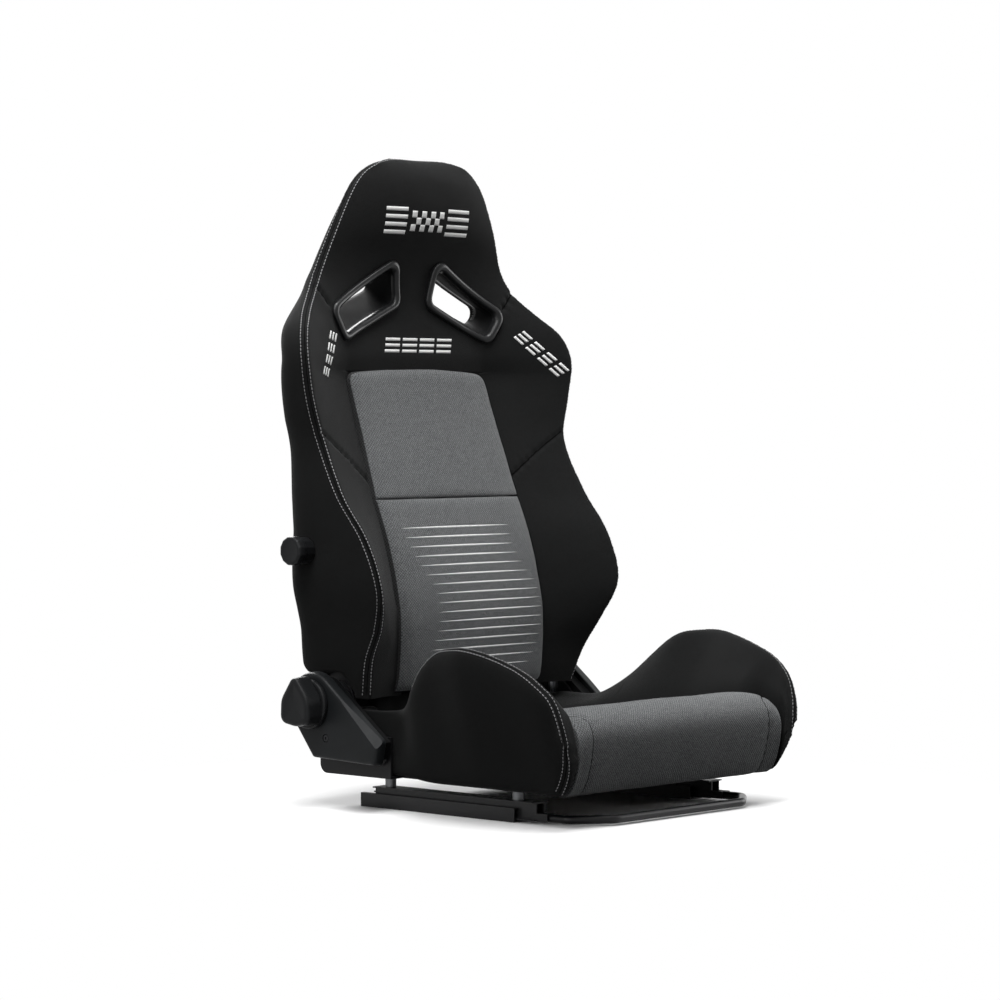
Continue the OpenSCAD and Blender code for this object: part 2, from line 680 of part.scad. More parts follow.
module recliner_turning() {
    color("#8b8e91") difference() {
        union() {
            along_x(turning_x, fixed_x - 0.1, disc_d - 4, axis_y, axis_z);
            along_x(turning_x, fixed_x + disc_t * 0.6 - 0.2, hub_d, axis_y, axis_z);
        }
        along_x(turning_x - 1, plate_x, shaft_d + 2, axis_y, axis_z);
    }
}
module recliner_turning_left() { recliner_turning(); }
module recliner_turning_right() { other_side() recliner_turning(); }

screw_y = axis_y - 30;
screw_z = axis_z - 48;
module hinge_cover() {
    color("#232527") difference() {
        hull() {
            yz_plate(cover_x, cover_w - 12) hinge_outline();
            yz_plate(cover_x, cover_w) hinge_outline(-7);
        }
        hull() {
            yz_plate(cover_x - 1, cover_w - 11 - cover_t) hinge_outline(-cover_t);
            yz_plate(cover_x - 1, cover_w + 1 - cover_t) hinge_outline(-7 - cover_t);
        }
        along_x(cover_x, lever_x + 1, shaft_d + 2, axis_y, axis_z);
        along_x(lever_x - 3, lever_x + 1, 12, screw_y, screw_z);
        along_x(cover_x, lever_x + 1, 5, screw_y, screw_z);
    }
    color("#232527") difference() {
        along_x(plate_x + plate_t, lever_x - cover_t + eps, 12, screw_y, screw_z);
        along_x(plate_x, lever_x, 4.4, screw_y, screw_z);
    }
}
module hinge_cover_left() { hinge_cover(); }
module hinge_cover_right() { other_side() hinge_cover(); }

module cover_screws() {
    color("#5a5c5e") both_sides() difference() {
        union() {
            along_x(lever_x - 2.98, lever_x - 0.6, 9.5, screw_y, screw_z);
            along_x(lever_x - 24, lever_x - 2.97, 4, screw_y, screw_z);
        }
        along_x(lever_x - 1.8, lever_x, 4.6, screw_y, screw_z, $fn = 6);
    }
}

module cross_shaft() {
    color("silver")
        along_x(-lever_x - hub_len - lever_t * 0.5, lever_x - cover_t - 1, shaft_d, axis_y, axis_z);
}

// Shield-shaped grip on a round hub, on the sitter's right
module recline_lever() {
    lobes = [[1, 29, 11], [-16, -15, 14], [16, -15, 14], [0, -2, 29.5]];
    grip_x = -lever_x - hub_len;
    color("#2a2b2d") difference() {
        union() {
            along_x(grip_x - eps, -lever_x - 0.3, 72, axis_y, axis_z);
            hull() {
                for (p = lobes) {
                    along_x(grip_x - lever_t + 3, grip_x, 2 * p[2], axis_y + p[0], axis_z + p[1]);
                    along_x(grip_x - lever_t, grip_x, 2 * p[2] - 6, axis_y + p[0], axis_z + p[1]);
                }
            }
        }
        along_x(grip_x - lever_t * 0.5, 0, shaft_d, axis_y, axis_z);
    }
}

// ---- back frame ---------------------------------------------------------
frame_y = 240;
frame_top = waist_z + 24;

module back_plate_outline(grow = 0) {
    hull() {
        translate([axis_y, axis_z]) circle(d = disc_d - 2 + 2 * grow);
        translate([frame_y - 8, wing_z - 40]) circle(r = 16 + grow);
    }
}
module back_plate() {
    color("#3a3c3e") difference() {
        yz_plate(back_plate_x, plate_t) back_plate_outline();
        along_x(back_plate_x - 1, turning_x + 1, shaft_d + 2, axis_y, axis_z);
    }
}
module back_plate_left() { back_plate(); }
module back_plate_right() { other_side() back_plate(); }

leg_foot = [leg_x, frame_y - 12, foot_z + 48];
leg_top = [leg_x, frame_y + 18, frame_top];
function leg_y(z) = leg_foot[1] + (leg_top[1] - leg_foot[1]) * (z - leg_foot[2]) / (leg_top[2] - leg_foot[2]);
module back_frame() {
    v = leg_top - leg_foot;
    over = tube_d / 2 + 2;
    color("#2f3133") {
        both_sides() translate(leg_foot) rotate([-atan2(v[1], v[2]), 0, 0])
            translate([0, 0, -over]) cylinder(h = norm(v) + 2 * over, d = tube_d);
        for (p = [leg_foot, leg_top]) along_x(-leg_x, leg_x, tube_d - 4, p[1], p[2]);
    }
}

// Flat post that carries the head pad
post_w = 44;
post_t = 10;
post_top = head_z - 15;
module post_body(grow = 0) {
    translate([-post_w / 2 - grow, leg_top[1] + tube_d / 2 - 2 - grow, frame_top - 18])
        cube([post_w + 2 * grow, post_t + 2 * grow, post_top - frame_top + 18 + grow]);
}
module head_post() {
    color("#2f3133") post_body();
}

// Straps behind the pads, hooked on the legs
module back_straps() {
    strap_t = 2;
    strap_h = 34;
    color("#17181a") for (z = [foot_z + 75, waist_z - 75, waist_z - 20]) {
        y = max(pad_back_y(z), pad_back_y(z + strap_h)) + soft_gap + 0.3;
        hook_y = leg_y(z) - tube_d / 2 - 0.1;
        x = leg_x + 4;
        w = pad_w / 2 - 30;
        translate([0, 0, z]) linear_extrude(strap_h) polygon([
            [-x, hook_y - strap_t], [12 - leg_x, hook_y - strap_t], [-w, y],
            [w, y], [leg_x - 12, hook_y - strap_t],
            [x, hook_y - strap_t], [x, hook_y], [leg_x - 14, hook_y], [w - 1, y + strap_t],
            [1 - w, y + strap_t], [14 - leg_x, hook_y], [-x, hook_y]
        ]);
    }
}

// ---- lumbar support ------------------------------------------------------
cam_r = 11;
plate_back_y = knob_y - cam_r - 0.7;
lumbar_top = knob_z + 9;
lumbar_h = 98;
lumbar_w = 190;
rod_gap = 120;
rod_z = knob_z - 40;
bracket_y = knob_y + 20;
module lumbar_plate() {
    color("#3f4245") {
        difference() {
            translate([-lumbar_w / 2, plate_back_y - 4, lumbar_top - lumbar_h]) cube([lumbar_w, 4, lumbar_h]);
            for (x = [-1 : 1])
                translate([x * 60, plate_back_y - 5, rod_z - 26]) rotate([-90, 0, 0]) cylinder(h = 6, d = 20);
        }
        for (x = [-1, 1]) translate([x * rod_gap / 2, plate_back_y - eps, rod_z]) rotate([-90, 0, 0])
            cylinder(h = bracket_y + 14 + lumbar_travel - plate_back_y, d = 8);
    }
}

module lumbar_bracket() {
    beam_h = 26;
    end_x = tube_d / 2 - leg_x - 4;
    color("#2f3133") difference() {
        union() {
            translate([end_x, bracket_y, rod_z - beam_h / 2]) cube([-2 * end_x, 12, beam_h]);
            translate([end_x, knob_y - 11, rod_z - beam_h / 2])
                cube([14, bracket_y - knob_y + 23, knob_z - rod_z + beam_h / 2 + 11]);
        }
        for (x = [-1, 1]) translate([x * rod_gap / 2, bracket_y - 1, rod_z]) rotate([-90, 0, 0])
            cylinder(h = 14, d = 8 + 2 * run_gap);
        along_x(-leg_x, 0, knob_shaft_d + 2 * run_gap, knob_y, knob_z);
        intersection() {
            back_frame();
            translate([-leg_x - 30, bracket_y - 40, rod_z - 40]) cube([2 * leg_x + 60, 90, 120]);
        }
    }
}

// Shaft with a snail cam: the cam's edge rises evenly over half a turn
module lumbar_shaft() {
    rise = lumbar_travel;
    out = [for (a = [0 : 7.5 : 180]) let (r = cam_r + rise * a / 180) [-r * cos(a), r * sin(a)]];
    back = [for (a = [15 : 15 : 165]) let (r = cam_r + rise * (1 - a / 180)) [r * cos(a), -r * sin(a)]];
    color("silver") {
        along_x(-side_x(knob_z) - knob_len + 6, -60, knob_shaft_d, knob_y, knob_z);
        translate([0, knob_y, knob_z]) yz_plate(-80, 12) polygon(concat(out, back));
    }
}

// Twelve-sided knob with a bevelled face, on the sitter's right
module lumbar_knob() {
    x0 = side_x(knob_z) + 1;
    color("#202123") difference() {
        union() {
            translate([-x0 - knob_len, knob_y, knob_z]) rotate([0, 90, 0]) {
                translate([0, 0, 5]) cylinder(h = knob_len - 13, d = knob_d, $fn = 12);
                cylinder(h = 5 + eps, d1 = knob_d - 8, d2 = knob_d, $fn = 12);
                translate([0, 0, knob_len - 8 - eps]) cylinder(h = 8, d = knob_d - 6, $fn = 48);
            }
        }
        along_x(-x0 - knob_len + 7, 0, knob_shaft_d, knob_y, knob_z);
    }
}

// ---- backrest upholstery ---------------------------------------------------
front_parts = 5;
corner_parts = 5;

// Half section of the back: outer chain from the pads round to the panel, then the hollow
function wing_ring(z) =
    let (
        x_i = straight(pad_line, z, 1) + soft_gap,
        x_r = ridge_x(z),
        y_r = ridge_y(z),
        x_s = side_x(z),
        y0 = straight(corner_line, z, 1),
        lip_y = rear_point(1, flange_half, z)[1] - rear_flange,
        hollow_y = min(pad_back_y(z) + soft_gap, lip_y - 2)
    )
    concat(
        [for (k = [0 : front_parts]) let (x = x_i + (x_r - x_i) * k / front_parts)
            [x, min(front_y(x, z), hollow_y - 2), z]],
        [[x_r + 2.5, y_r + 4, z], [x_s, y_r + 13, z], [x_s + 1, (y_r + 13 + max(y0, y_r + 16)) / 2, z]],
        [for (k = [0 : corner_parts]) let (p = rear_point(k / corner_parts, flange_half, z))
            [p[0], max(p[1], y_r + 16 + k * 2), z]],
        [[flange_half, lip_y, z], [cavity_half, lip_y, z], [cavity_half, hollow_y, z], [x_i, hollow_y, z]]
    );

wing_stations = [
    foot_z, foot_z + 3, foot_z + 9, foot_z + 17, foot_z + 28, foot_z + 32, foot_z + 43, foot_z + 65,
    wing_z - 60, wing_z - 30, wing_z, wing_z + 35, wing_z + 70, wing_z + 102, wing_z + 132,
    waist_z - 35, waist_z, waist_z + 30, waist_z + 60, waist_z + 90, yoke_z
];
module back_wing() {
    near = [18, 18, 18, 18, 18, 17, 17, 17, 17, 17, 16, 16, 16, 15, 15];
    color("#1d1d1e") difference() {
        skin([for (z = wing_stations) wing_ring(z)], fan(near));
        along_x(cavity_half - 20, cavity_half + 60, 2 * arch_r, axis_y, axis_z);
        yz_plate(back_plate_x - 1, plate_t + 2) back_plate_outline(1);
    }
}
module back_wing_left() { back_wing(); }
module back_wing_right() {
    difference() {
        other_side() back_wing();
        color("#1d1d1e")
            along_x(-side_x(knob_z) - 10, 10 - cavity_half, knob_shaft_d + 3, knob_y, knob_z);
    }
}

// Whole section of the back, front and rear chains of equal length
side_parts = 9;
function full_ring(z) =
    let (
        x_r = ridge_x(z),
        y_r = ridge_y(z),
        x_s = side_x(z),
        y0 = straight(corner_line, z, 1),
        t = min(1, (seat_h - z) / 30),
        half = concat(
            [[x_r + 0.8 + 1.2 * t, y_r + 1 + 3 * t], [x_s, max(min(y_r + 13, y0), y_r + 2 + 4 * t)]],
            [for (k = [1 : 7]) rear_point(k / 7, 0.5, z)]
        )
    )
    concat(
        [for (k = [-side_parts : side_parts]) let (x = x_r * k / side_parts) [x, front_y(x, z), z]],
        [for (p = half) [p[0], p[1], z]],
        [[0, rear_y(z), z]],
        [for (k = [len(half) - 1 : -1 : 0]) [-half[k][0], half[k][1], z]]
    );

// Belt slot outline in the XZ plane, sitter's left
slot_corners = [
    [41, neck_z + 25], [neck_w / 2 - 6, neck_z - 57], [neck_w / 2 - 40, neck_z - 107], [27, neck_z - 50]
];
module slot_outline(inset) {
    offset(r = 12 - inset * 0.5) offset(delta = -12 - inset * 0.5) polygon(slot_corners);
}
module slot_prism(inset, y0, y1) {
    translate([0, y1, 0]) rotate([90, 0, 0]) linear_extrude(y1 - y0) slot_outline(inset);
}

module shoulder_yoke() {
    zs = [
        yoke_z + soft_gap, shoulder_z, shoulder_z + 15, shoulder_z + 40, shoulder_z + 66, shoulder_z + 84,
        shoulder_z + 104, neck_z, head_pad_z - soft_gap
    ];
    n = 2 * side_parts + 1;
    color("#1d1d1e") difference() {
        skin([for (z = zs) full_ring(z)], zip(n));
        both_sides() {
            slot_prism(lip_w - bezel_t, 150, 400);
            front_lip(soft_gap, 60);
            rear_lip(soft_gap, 40);
        }
        post_body(0.3);
    }
}

module head_pad() {
    zs = [
        head_pad_z, head_z - 50, head_z - 28, head_z, head_z + 26, head_z + 45, head_z + 57,
        head_z + 65, seat_h
    ];
    n = 2 * side_parts + 1;
    color("#1d1d1e") difference() {
        skin([for (z = zs) full_ring(z)], zip(n));
        post_body(0.3);
    }
}

// Middle pad between two heights: crowned, with rounded and drawn-in edges
module back_pad(z0, z1) {
    spans = [-1, -0.985, -0.93, -0.8, -0.5, -0.2, 0.2, 0.5, 0.8, 0.93, 0.985, 1];
    n = len(spans);
    h = z1 - z0;
    steps = [0, 0.012, 0.045, 0.12, 0.25, 0.4, 0.55, 0.7, 0.85, 0.94, 0.985, 1];
    rings = [for (s = steps) let (
        z = z0 + h * s,
        near_end = max(0, 1 - min(s, 1 - s) * h / 14),
        round_off = 7 * pow(near_end, 2.5),
        half = straight(pad_line, z, 1) - 2.5 * sin(180 * s) - 3 * pow(near_end, 3)
    ) concat(
        [for (v = spans) [half * v, centre_y(z) + round_off + 8 * pow(abs(v), 12) - 1.5 * (1 - v * v), z]],
        [for (i = [n - 1 : -1 : 0]) [(half - 1) * spans[i], pad_back_y(z) - 0.1, z]]
    )];
    color("#585b5d") skin(rings, zip(n));
}
module back_pad_lower() { back_pad(foot_z + 6, pad_seam_z - soft_gap / 2); }
module back_pad_upper() { back_pad(pad_seam_z + soft_gap / 2, pad_top_z); }

// Flap below the pads that closes the gap above the seat base
module back_skirt() {
    color("#1d1d1e") {
        translate([-pad_w / 2 + 1, cushion_rear_y - 3, axis_z - 26]) cube([pad_w - 2, 3, foot_z + 6 - axis_z + 26]);
        translate([-cushion_w / 2 + 42, cushion_rear_y - 3, axis_z - 26])
            cube([cushion_w - 84, 3, foot_z - axis_z + 25]);
    }
}

// Thin moulded shell over the rear of the back
module back_panel() {
    half = flange_half + 12;
    spans = [1, 0.97, 0.9, 0.75, 0.5, 0.25, 0, -0.25, -0.5, -0.75, -0.9, -0.97, -1];
    n = len(spans);
    zs = [foot_z + 34, for (z = wing_stations) if (z > foot_z + 34 && z < yoke_z) z, yoke_z - 1];
    rings = [for (z = zs) concat(
        [for (v = spans) [-half * v, rear_plan(half * v, z) + soft_gap, z]],
        [for (i = [n - 1 : -1 : 0]) let (v = spans[i], t = panel_t * (1 - 0.7 * pow(abs(v), 20)))
            [-half * v, rear_plan(half * v, z) + soft_gap + t, z]]
    )];
    color("#222325") skin(rings, zip(n));
}
// y of the rear at distance x from the middle
function rear_plan(x, z) =
    let (y0 = straight(corner_line, z, 1), n = straight(corner_line, z, 2))
    y0 + (rear_y(z) - y0) * pow(1 - pow(min(1, abs(x) / side_x(z)), n), 1 / n);

// Plane of the bezels' lips: the front one leans forward upwards, both turn
// forward outwards
slot_x = (slot_corners[0][0] + slot_corners[2][0]) / 2;
slot_z = (slot_corners[0][1] + slot_corners[2][1]) / 2;
slot_front = front_y(slot_x, slot_z) + 1;
slot_rear = rear_plan(slot_x, slot_z) + 1;
module front_lip(grow, depth) {
    translate([slot_x, slot_front + lip_t / 2 + grow, slot_z]) rotate([5, 0, -7.5]) rotate([90, 0, 0])
        linear_extrude(depth) translate([-slot_x, -slot_z]) slot_outline(-grow);
}
module rear_lip(grow, depth) {
    translate([slot_x, slot_rear - 2, slot_z]) rotate([0, 0, -7.5]) rotate([90, 0, 0])
        translate([-slot_x, -slot_z, -depth]) linear_extrude(depth + grow) slot_outline(-grow);
}

// Bezel: a tube through the yoke with a lip at each end
module belt_bezel() {
    color("#0c0c0d") difference() {
        union() {
            difference() {
                slot_prism(lip_w - bezel_t + soft_gap, slot_front, slot_rear + 30);
                translate([slot_x, slot_rear, slot_z]) rotate([0, 0, -7.5])
                    translate([-150, 0, -150]) cube([300, 90, 300]);
            }
            front_lip(0, lip_t);
            rear_lip(0, 4);
        }
        slot_prism(lip_w, 150, 400);
    }
}
module belt_bezel_left() { belt_bezel(); }
module belt_bezel_right() { other_side() belt_bezel(); }

lower_rail_left();
lower_rail_right();
upper_rail_left();
upper_rail_right();
guide_shoes();
bar_pivot_pins();
release_bar();
latch_plates();
seat_spacers();
seat_bolts();
seat_pan();
seat_mat();
seat_cushion();
seat_rear_trim();
seat_bolster_left();
seat_bolster_right();
hinge_plate_left();
hinge_plate_right();
hinge_bolts();
recliner_fixed_left();
recliner_fixed_right();
hinge_cover_left();
hinge_cover_right();
cover_screws();
cross_shaft();
recline_lever();
back_plate_left();
back_plate_right();
recliner_turning_left();
recliner_turning_right();
back_frame();
head_post();
back_straps();
lumbar_bracket();
back_wing_left();
back_wing_right();
shoulder_yoke();
head_pad();
back_pad_lower();
back_pad_upper();
back_skirt();
back_panel();
belt_bezel_left();
belt_bezel_right();
lumbar_shaft();
lumbar_knob();
lumbar_plate();
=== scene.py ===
"""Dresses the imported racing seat: covers, pads, stitching, plastics and a plain studio."""
import math

import bmesh
import bpy
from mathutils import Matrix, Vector, noise as field
from mathutils.bvhtree import BVHTree
from mathutils.kdtree import KDTree


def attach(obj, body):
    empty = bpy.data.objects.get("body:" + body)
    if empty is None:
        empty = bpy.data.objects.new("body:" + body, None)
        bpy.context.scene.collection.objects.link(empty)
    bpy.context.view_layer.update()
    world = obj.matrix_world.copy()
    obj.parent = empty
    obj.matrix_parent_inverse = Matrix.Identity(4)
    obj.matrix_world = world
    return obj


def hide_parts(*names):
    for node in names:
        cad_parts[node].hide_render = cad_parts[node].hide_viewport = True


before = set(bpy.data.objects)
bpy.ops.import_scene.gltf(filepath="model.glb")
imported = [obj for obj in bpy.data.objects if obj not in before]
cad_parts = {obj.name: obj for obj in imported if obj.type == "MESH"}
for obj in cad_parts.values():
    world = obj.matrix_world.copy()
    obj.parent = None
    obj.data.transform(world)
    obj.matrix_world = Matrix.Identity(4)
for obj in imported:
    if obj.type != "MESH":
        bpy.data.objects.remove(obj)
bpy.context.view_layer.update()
MM = 0.001

# ---- curves of the seat, in millimetres, as the solids have them -------------------------------
FOOT_Z, TOP_Z = 157, 950  # foot and top of the back
PAD_TOP_Z, PAD_SEAM_Z = 630, 443  # top of the middle pads, seam between them
PAD_CORNER, PAD_T = 16, 34  # radius of their top corners, their thickness
PAD_PROUD = 12  # how far they stand before the cover
SOFT_GAP = 0.3  # between soft pieces side by side
AXIS_Y, AXIS_Z = 190, 150  # the axis of both recliners
SIDES = ((1, "left"), (-1, "right"))

# height, half width at the ridge, y of the ridge
BACK_LINE = [
    (157, 220, 121), (215, 232, 103), (260, 241, 76), (317, 258, 56), (387, 262, 82), (449, 263, 130),
    (530, 261, 172), (590, 277, 177), (650, 286, 178), (690, 275, 191), (719, 247, 215),
    (746, 219, 233), (780, 196, 242), (852, 166, 235), (906, 137, 231), (928, 115, 230),
    (942, 87, 228), (950, 52, 236),
]
# height, y of the front along the middle
CENTRE_LINE = [
    (157, 126), (187, 119), (257, 115), (302, 120), (377, 140), (447, 168), (530, 198), (630, 233),
    (680, 245), (732, 250), (772, 246), (804, 236), (838, 217), (875, 208), (915, 209), (932, 215),
    (945, 227), (950, 238),
]
# height, y of the rear along the middle
REAR_LINE = [
    (157, 150), (166, 174), (174, 192), (185, 216), (189, 262), (200, 274), (297, 279), (400, 285),
    (500, 291), (600, 300), (710, 307), (760, 308), (800, 304), (850, 292), (886, 274), (930, 262),
    (945, 252), (950, 246),
]
# height, y where the rounded rear begins, sharpness of the rear corner
CORNER_LINE = [
    (157, 140, 7), (189, 150, 8), (257, 150, 6), (400, 176, 3.7), (557, 200, 3.5), (650, 200, 2.5),
    (702, 222, 2.5), (766, 254, 2.4), (848, 242, 2.2), (886, 238, 2.2), (950, 236, 2.1),
]
# height, half width of the middle pads
PAD_LINE = [(157, 157), (443, 155), (530, 150), (630, 147)]
# height, half width of the flat middle, bend of the front beside it
FRONT_LINE = [(z, x + SOFT_GAP, 1.2) for z, x in PAD_LINE]
FRONT_LINE += [(720, 100, 1.5), (800, 0, 2.1), (950, 0, 2.3)]


def row_at(table, h):
    """Index of the table's row that h follows."""
    i = 0
    while i < len(table) - 2 and h >= table[i + 1][0]:
        i += 1
    return i


def slope(table, i, k):
    """Slope of value k at row i, from the rows on both sides."""
    a, b = max(i - 1, 0), min(i + 1, len(table) - 1)
    return (table[b][k] - table[a][k]) / (table[b][0] - table[a][0])


def smooth(table, h, k=1):
    """Value k of the table at h, along a smooth curve through its rows."""
    i = row_at(table, h)
    d = table[i + 1][0] - table[i][0]
    s = min(max((h - table[i][0]) / d, 0.0), 1.0)
    return (
        table[i][k] * (1 + 2 * s) * (1 - s) ** 2
        + slope(table, i, k) * d * s * (1 - s) ** 2
        + table[i + 1][k] * s * s * (3 - 2 * s)
        - slope(table, i + 1, k) * d * s * s * (1 - s)
    )


def straight(table, h, k=1):
    """Value k of the table at h, along straight lines."""
    i = row_at(table, h)
    s = min(max((h - table[i][0]) / (table[i + 1][0] - table[i][0]), 0.0), 1.0)
    return table[i][k] * (1 - s) + table[i + 1][k] * s


def ease(a, b, x):
    """0 up to a, 1 from b on, smooth between."""
    t = min(max((x - a) / (b - a), 0.0), 1.0)
    return t * t * (3 - 2 * t)


def ridge_x(z):
    return smooth(BACK_LINE, z, 1)


def ridge_y(z):
    return smooth(BACK_LINE, z, 2)


def centre_y(z):
    return smooth(CENTRE_LINE, z)


def rear_y(z):
    return straight(REAR_LINE, z)


def side_x(z):
    """Half width of the back's flank, a little outside the ridge."""
    return ridge_x(z) + 4 * min(1, (TOP_Z - z) / 150)


def pad_half(z):
    """Half width of the middle pads, with their top corners rounded."""
    round_off = 0.0
    if z > PAD_TOP_Z - PAD_CORNER:
        drop = min(z, PAD_TOP_Z) - (PAD_TOP_Z - PAD_CORNER)
        round_off = PAD_CORNER - math.sqrt(max(PAD_CORNER ** 2 - drop ** 2, 0.0))
    return straight(PAD_LINE, z) - round_off


def front_y(x, z):
    """y of the cover's front at distance x from the middle."""
    x0 = straight(FRONT_LINE, z, 1)
    bend = straight(FRONT_LINE, z, 2)
    s = max(0.0, (abs(x) - x0) / (ridge_x(z) - x0))
    sunk = PAD_PROUD * (1 - min(s, 1)) * (1 - ease(618, 662, z))
    return centre_y(z) + sunk + (ridge_y(z) - centre_y(z)) * s ** bend


def rear_point(s, z):
    """Point of the rounded rear: s runs from 0 at the side to 1 at the middle."""
    y0 = straight(CORNER_LINE, z, 1)
    n = straight(CORNER_LINE, z, 2)
    turn = s * math.pi / 2
    return (
        side_x(z) * max(math.cos(turn), 0.0) ** (2 / n),
        y0 + (rear_y(z) - y0) * math.sin(turn) ** (2 / n),
    )


# ---- making and finishing meshes ---------------------------------------------------------------
def make_piece(name, points, faces, unit=MM):
    """A smooth-shaded mesh from points in millimetres."""
    mesh = bpy.data.meshes.new(name)
    mesh.from_pydata([tuple(c * unit for c in p) for p in points], [], faces)
    mesh.validate()
    mesh.update()
    mesh.shade_smooth()
    obj = bpy.data.objects.new(name, mesh)
    bpy.context.scene.collection.objects.link(obj)
    return obj


def ring_faces(count, n):
    """Quads between successive rings of n points."""
    faces = []
    for j in range(count - 1):
        for i in range(n):
            a, b = j * n + i, j * n + (i + 1) % n
            faces.append((a, b, b + n, a + n))
    return faces


def lens_cap(start, n, flip=False):
    """Quads that close a ring of 2n points whose second half runs back along the first."""
    last = start + 2 * n - 1
    quads = [(start + i, start + i + 1, last - 1 - i, last - i) for i in range(n - 1)]
    return [q[::-1] for q in quads] if flip else quads


def settle(obj):
    """Bakes the modifiers of obj into its mesh."""
    bpy.context.view_layer.update()
    graph = bpy.context.evaluated_depsgraph_get()
    mesh = bpy.data.meshes.new_from_object(obj.evaluated_get(graph))
    old = obj.data
    obj.modifiers.clear()
    obj.data = mesh
    bpy.data.meshes.remove(old)
    mesh.name = obj.name
    return obj


def subdivide(obj, levels):
    """Rounds a coarse form off."""
    mod = obj.modifiers.new("rounding", "SUBSURF")
    mod.levels = mod.render_levels = levels
    return settle(obj)


def face_outwards(obj):
    mesh = bmesh.new()
    mesh.from_mesh(obj.data)
    bmesh.ops.recalc_face_normals(mesh, faces=mesh.faces)
    mesh.to_mesh(obj.data)
    mesh.free()


def both_ways(steps):
    """Steps from 0 on, mirrored to run from one side to the other."""
    return [-s for s in reversed(steps[1:])] + steps


def points_of(rings):
    return [p for ring in rings for p in ring]


def ring_piece(name, rings, caps, levels=0):
    """A closed piece from rings of points and the faces that cap its ends."""
    piece = make_piece(name, points_of(rings), ring_faces(len(rings), len(rings[0])) + caps)
    if levels:
        subdivide(piece, levels)
    face_outwards(piece)
    return piece


def folded_piece(name, rings, levels=0):
    """A closed piece from rings whose second half runs back along the first."""
    n = len(rings[0])
    caps = lens_cap(0, n // 2, flip=True) + lens_cap((len(rings) - 1) * n, n // 2)
    return ring_piece(name, rings, caps, levels)


def surface_of(obj):
    mesh = obj.data
    return BVHTree.FromPolygons([v.co for v in mesh.vertices], [p.vertices for p in mesh.polygons])


PATH_STEP = 2 * MM


def mirrored(points, side):
    """Points in millimetres as a path in metres, on the left (side 1) or the right (side -1)."""
    return [Vector((side * x, y, z)) * MM for x, y, z in points]


def even_steps(path, step):
    """Points at even steps along a path, in metres, with their directions."""
    out, left = [], 0.0
    for a, b in zip(path, path[1:]):
        length = (b - a).length
        if length < 1e-9:
            continue
        way = (b - a) / length
        while left < length:
            out.append((a + way * left, way))
            left += step
        left -= length
    return out


def lay_on(path, surface):
    """The path in small steps, each moved to the nearest point of the surface."""
    return [surface.find_nearest(p)[0] for p, _ in even_steps(path, PATH_STEP)]


def beside(path, surface, offset):
    """A path laid on the surface at a fixed distance beside another one."""
    normals = [surface.find_nearest(p)[1] for p in path]
    out = []
    for i, p in enumerate(path):
        way = path[min(i + 6, len(path) - 1)] - path[max(i - 6, 0)]
        normal = sum(normals[max(i - 12, 0):i + 13], Vector())
        out.append(surface.find_nearest(p + way.cross(normal).normalized() * offset)[0])
    return even_out(out, surface, 4)


def even_out(path, surface, reach=7):
    """A path laid on the surface, with its kinks taken out."""
    out = []
    for i in range(len(path)):
        r = min(reach, i, len(path) - 1 - i)
        near = path[i - r:i + r + 1]
        out.append(surface.find_nearest(sum(near, Vector()) / len(near))[0])
    return out


def press_seams(obj, paths, depth, width, gather):
    """Draws the cover in along the paths, as a seam does, with small gathers beside it."""
    points = [(p, i) for path in paths for i, p in enumerate(path)]
    tree = KDTree(len(points))
    for k, (p, _) in enumerate(points):
        tree.insert(p, k)
    tree.balance()
    normals = [v.normal.copy() for v in obj.data.vertices]
    for v, normal in zip(obj.data.vertices, normals):
        at, k, d = tree.find(v.co)
        if d < 5 * width:
            wave = math.sin(points[k][1] * 0.85 + 4 * field.noise(at * 55))
            wave *= 0.6 + 0.8 * field.noise(at * 23)
            fold = gather * wave * math.exp(-((d / width / 2.4) ** 2))
            v.co -= normal * (depth * math.exp(-((d / width) ** 2)) + fold)
    obj.data.update()


def swell(obj, height, scale=10.0):
    """Lets the foam under the cover rise and sink a little, so that no face is dead flat."""
    moves = []
    for v in obj.data.vertices:
        wave = field.noise(v.co * scale) + 0.4 * field.noise(v.co * scale * 2.7)
        moves.append(v.normal * height * wave)
    for v, move in zip(obj.data.vertices, moves):
        v.co += move
    obj.data.update()


def thread_mesh(spans, sides=6):
    """Short rounded threads from a list of (start, end, normal, width, height), in metres."""
    points, faces = [], []
    profile = [(0.0, 0.35), (0.18, 0.85), (0.5, 1.0), (0.82, 0.85), (1.0, 0.35)]
    for start, end, normal, width, height in spans:
        side = (end - start).cross(normal).normalized()
        first = len(points)
        for t, r in profile:
            middle = start.lerp(end, t)
            for k in range(sides):
                a = 2 * math.pi * k / sides
                across = side * width / 2 * r * math.cos(a)
                points.append(middle + across + normal * height * r * math.sin(a))
        faces += [tuple(first + i for i in f) for f in ring_faces(len(profile), sides)]
        faces.append(tuple(first + sides - 1 - k for k in range(sides)))
        faces.append(tuple(first + (len(profile) - 1) * sides + k for k in range(sides)))
    return points, faces


def stitch_run(name, paths, surface, pitch=5.4 * MM, length=3.8 * MM, width=1.4 * MM):
    """Stitches at even steps along paths that lie on the surface."""
    spans = []
    for path in paths:
        for p, way in even_steps(path, pitch):
            a, normal = surface.find_nearest(p)[:2]
            b, normal_b = surface.find_nearest(p + way * length)[:2]
            lift = (normal + normal_b).normalized()
            spans.append((a + normal * 0.1 * MM, b + normal_b * 0.1 * MM, lift, width, 0.45 * MM))
    return make_piece(name, *thread_mesh(spans), unit=1.0)


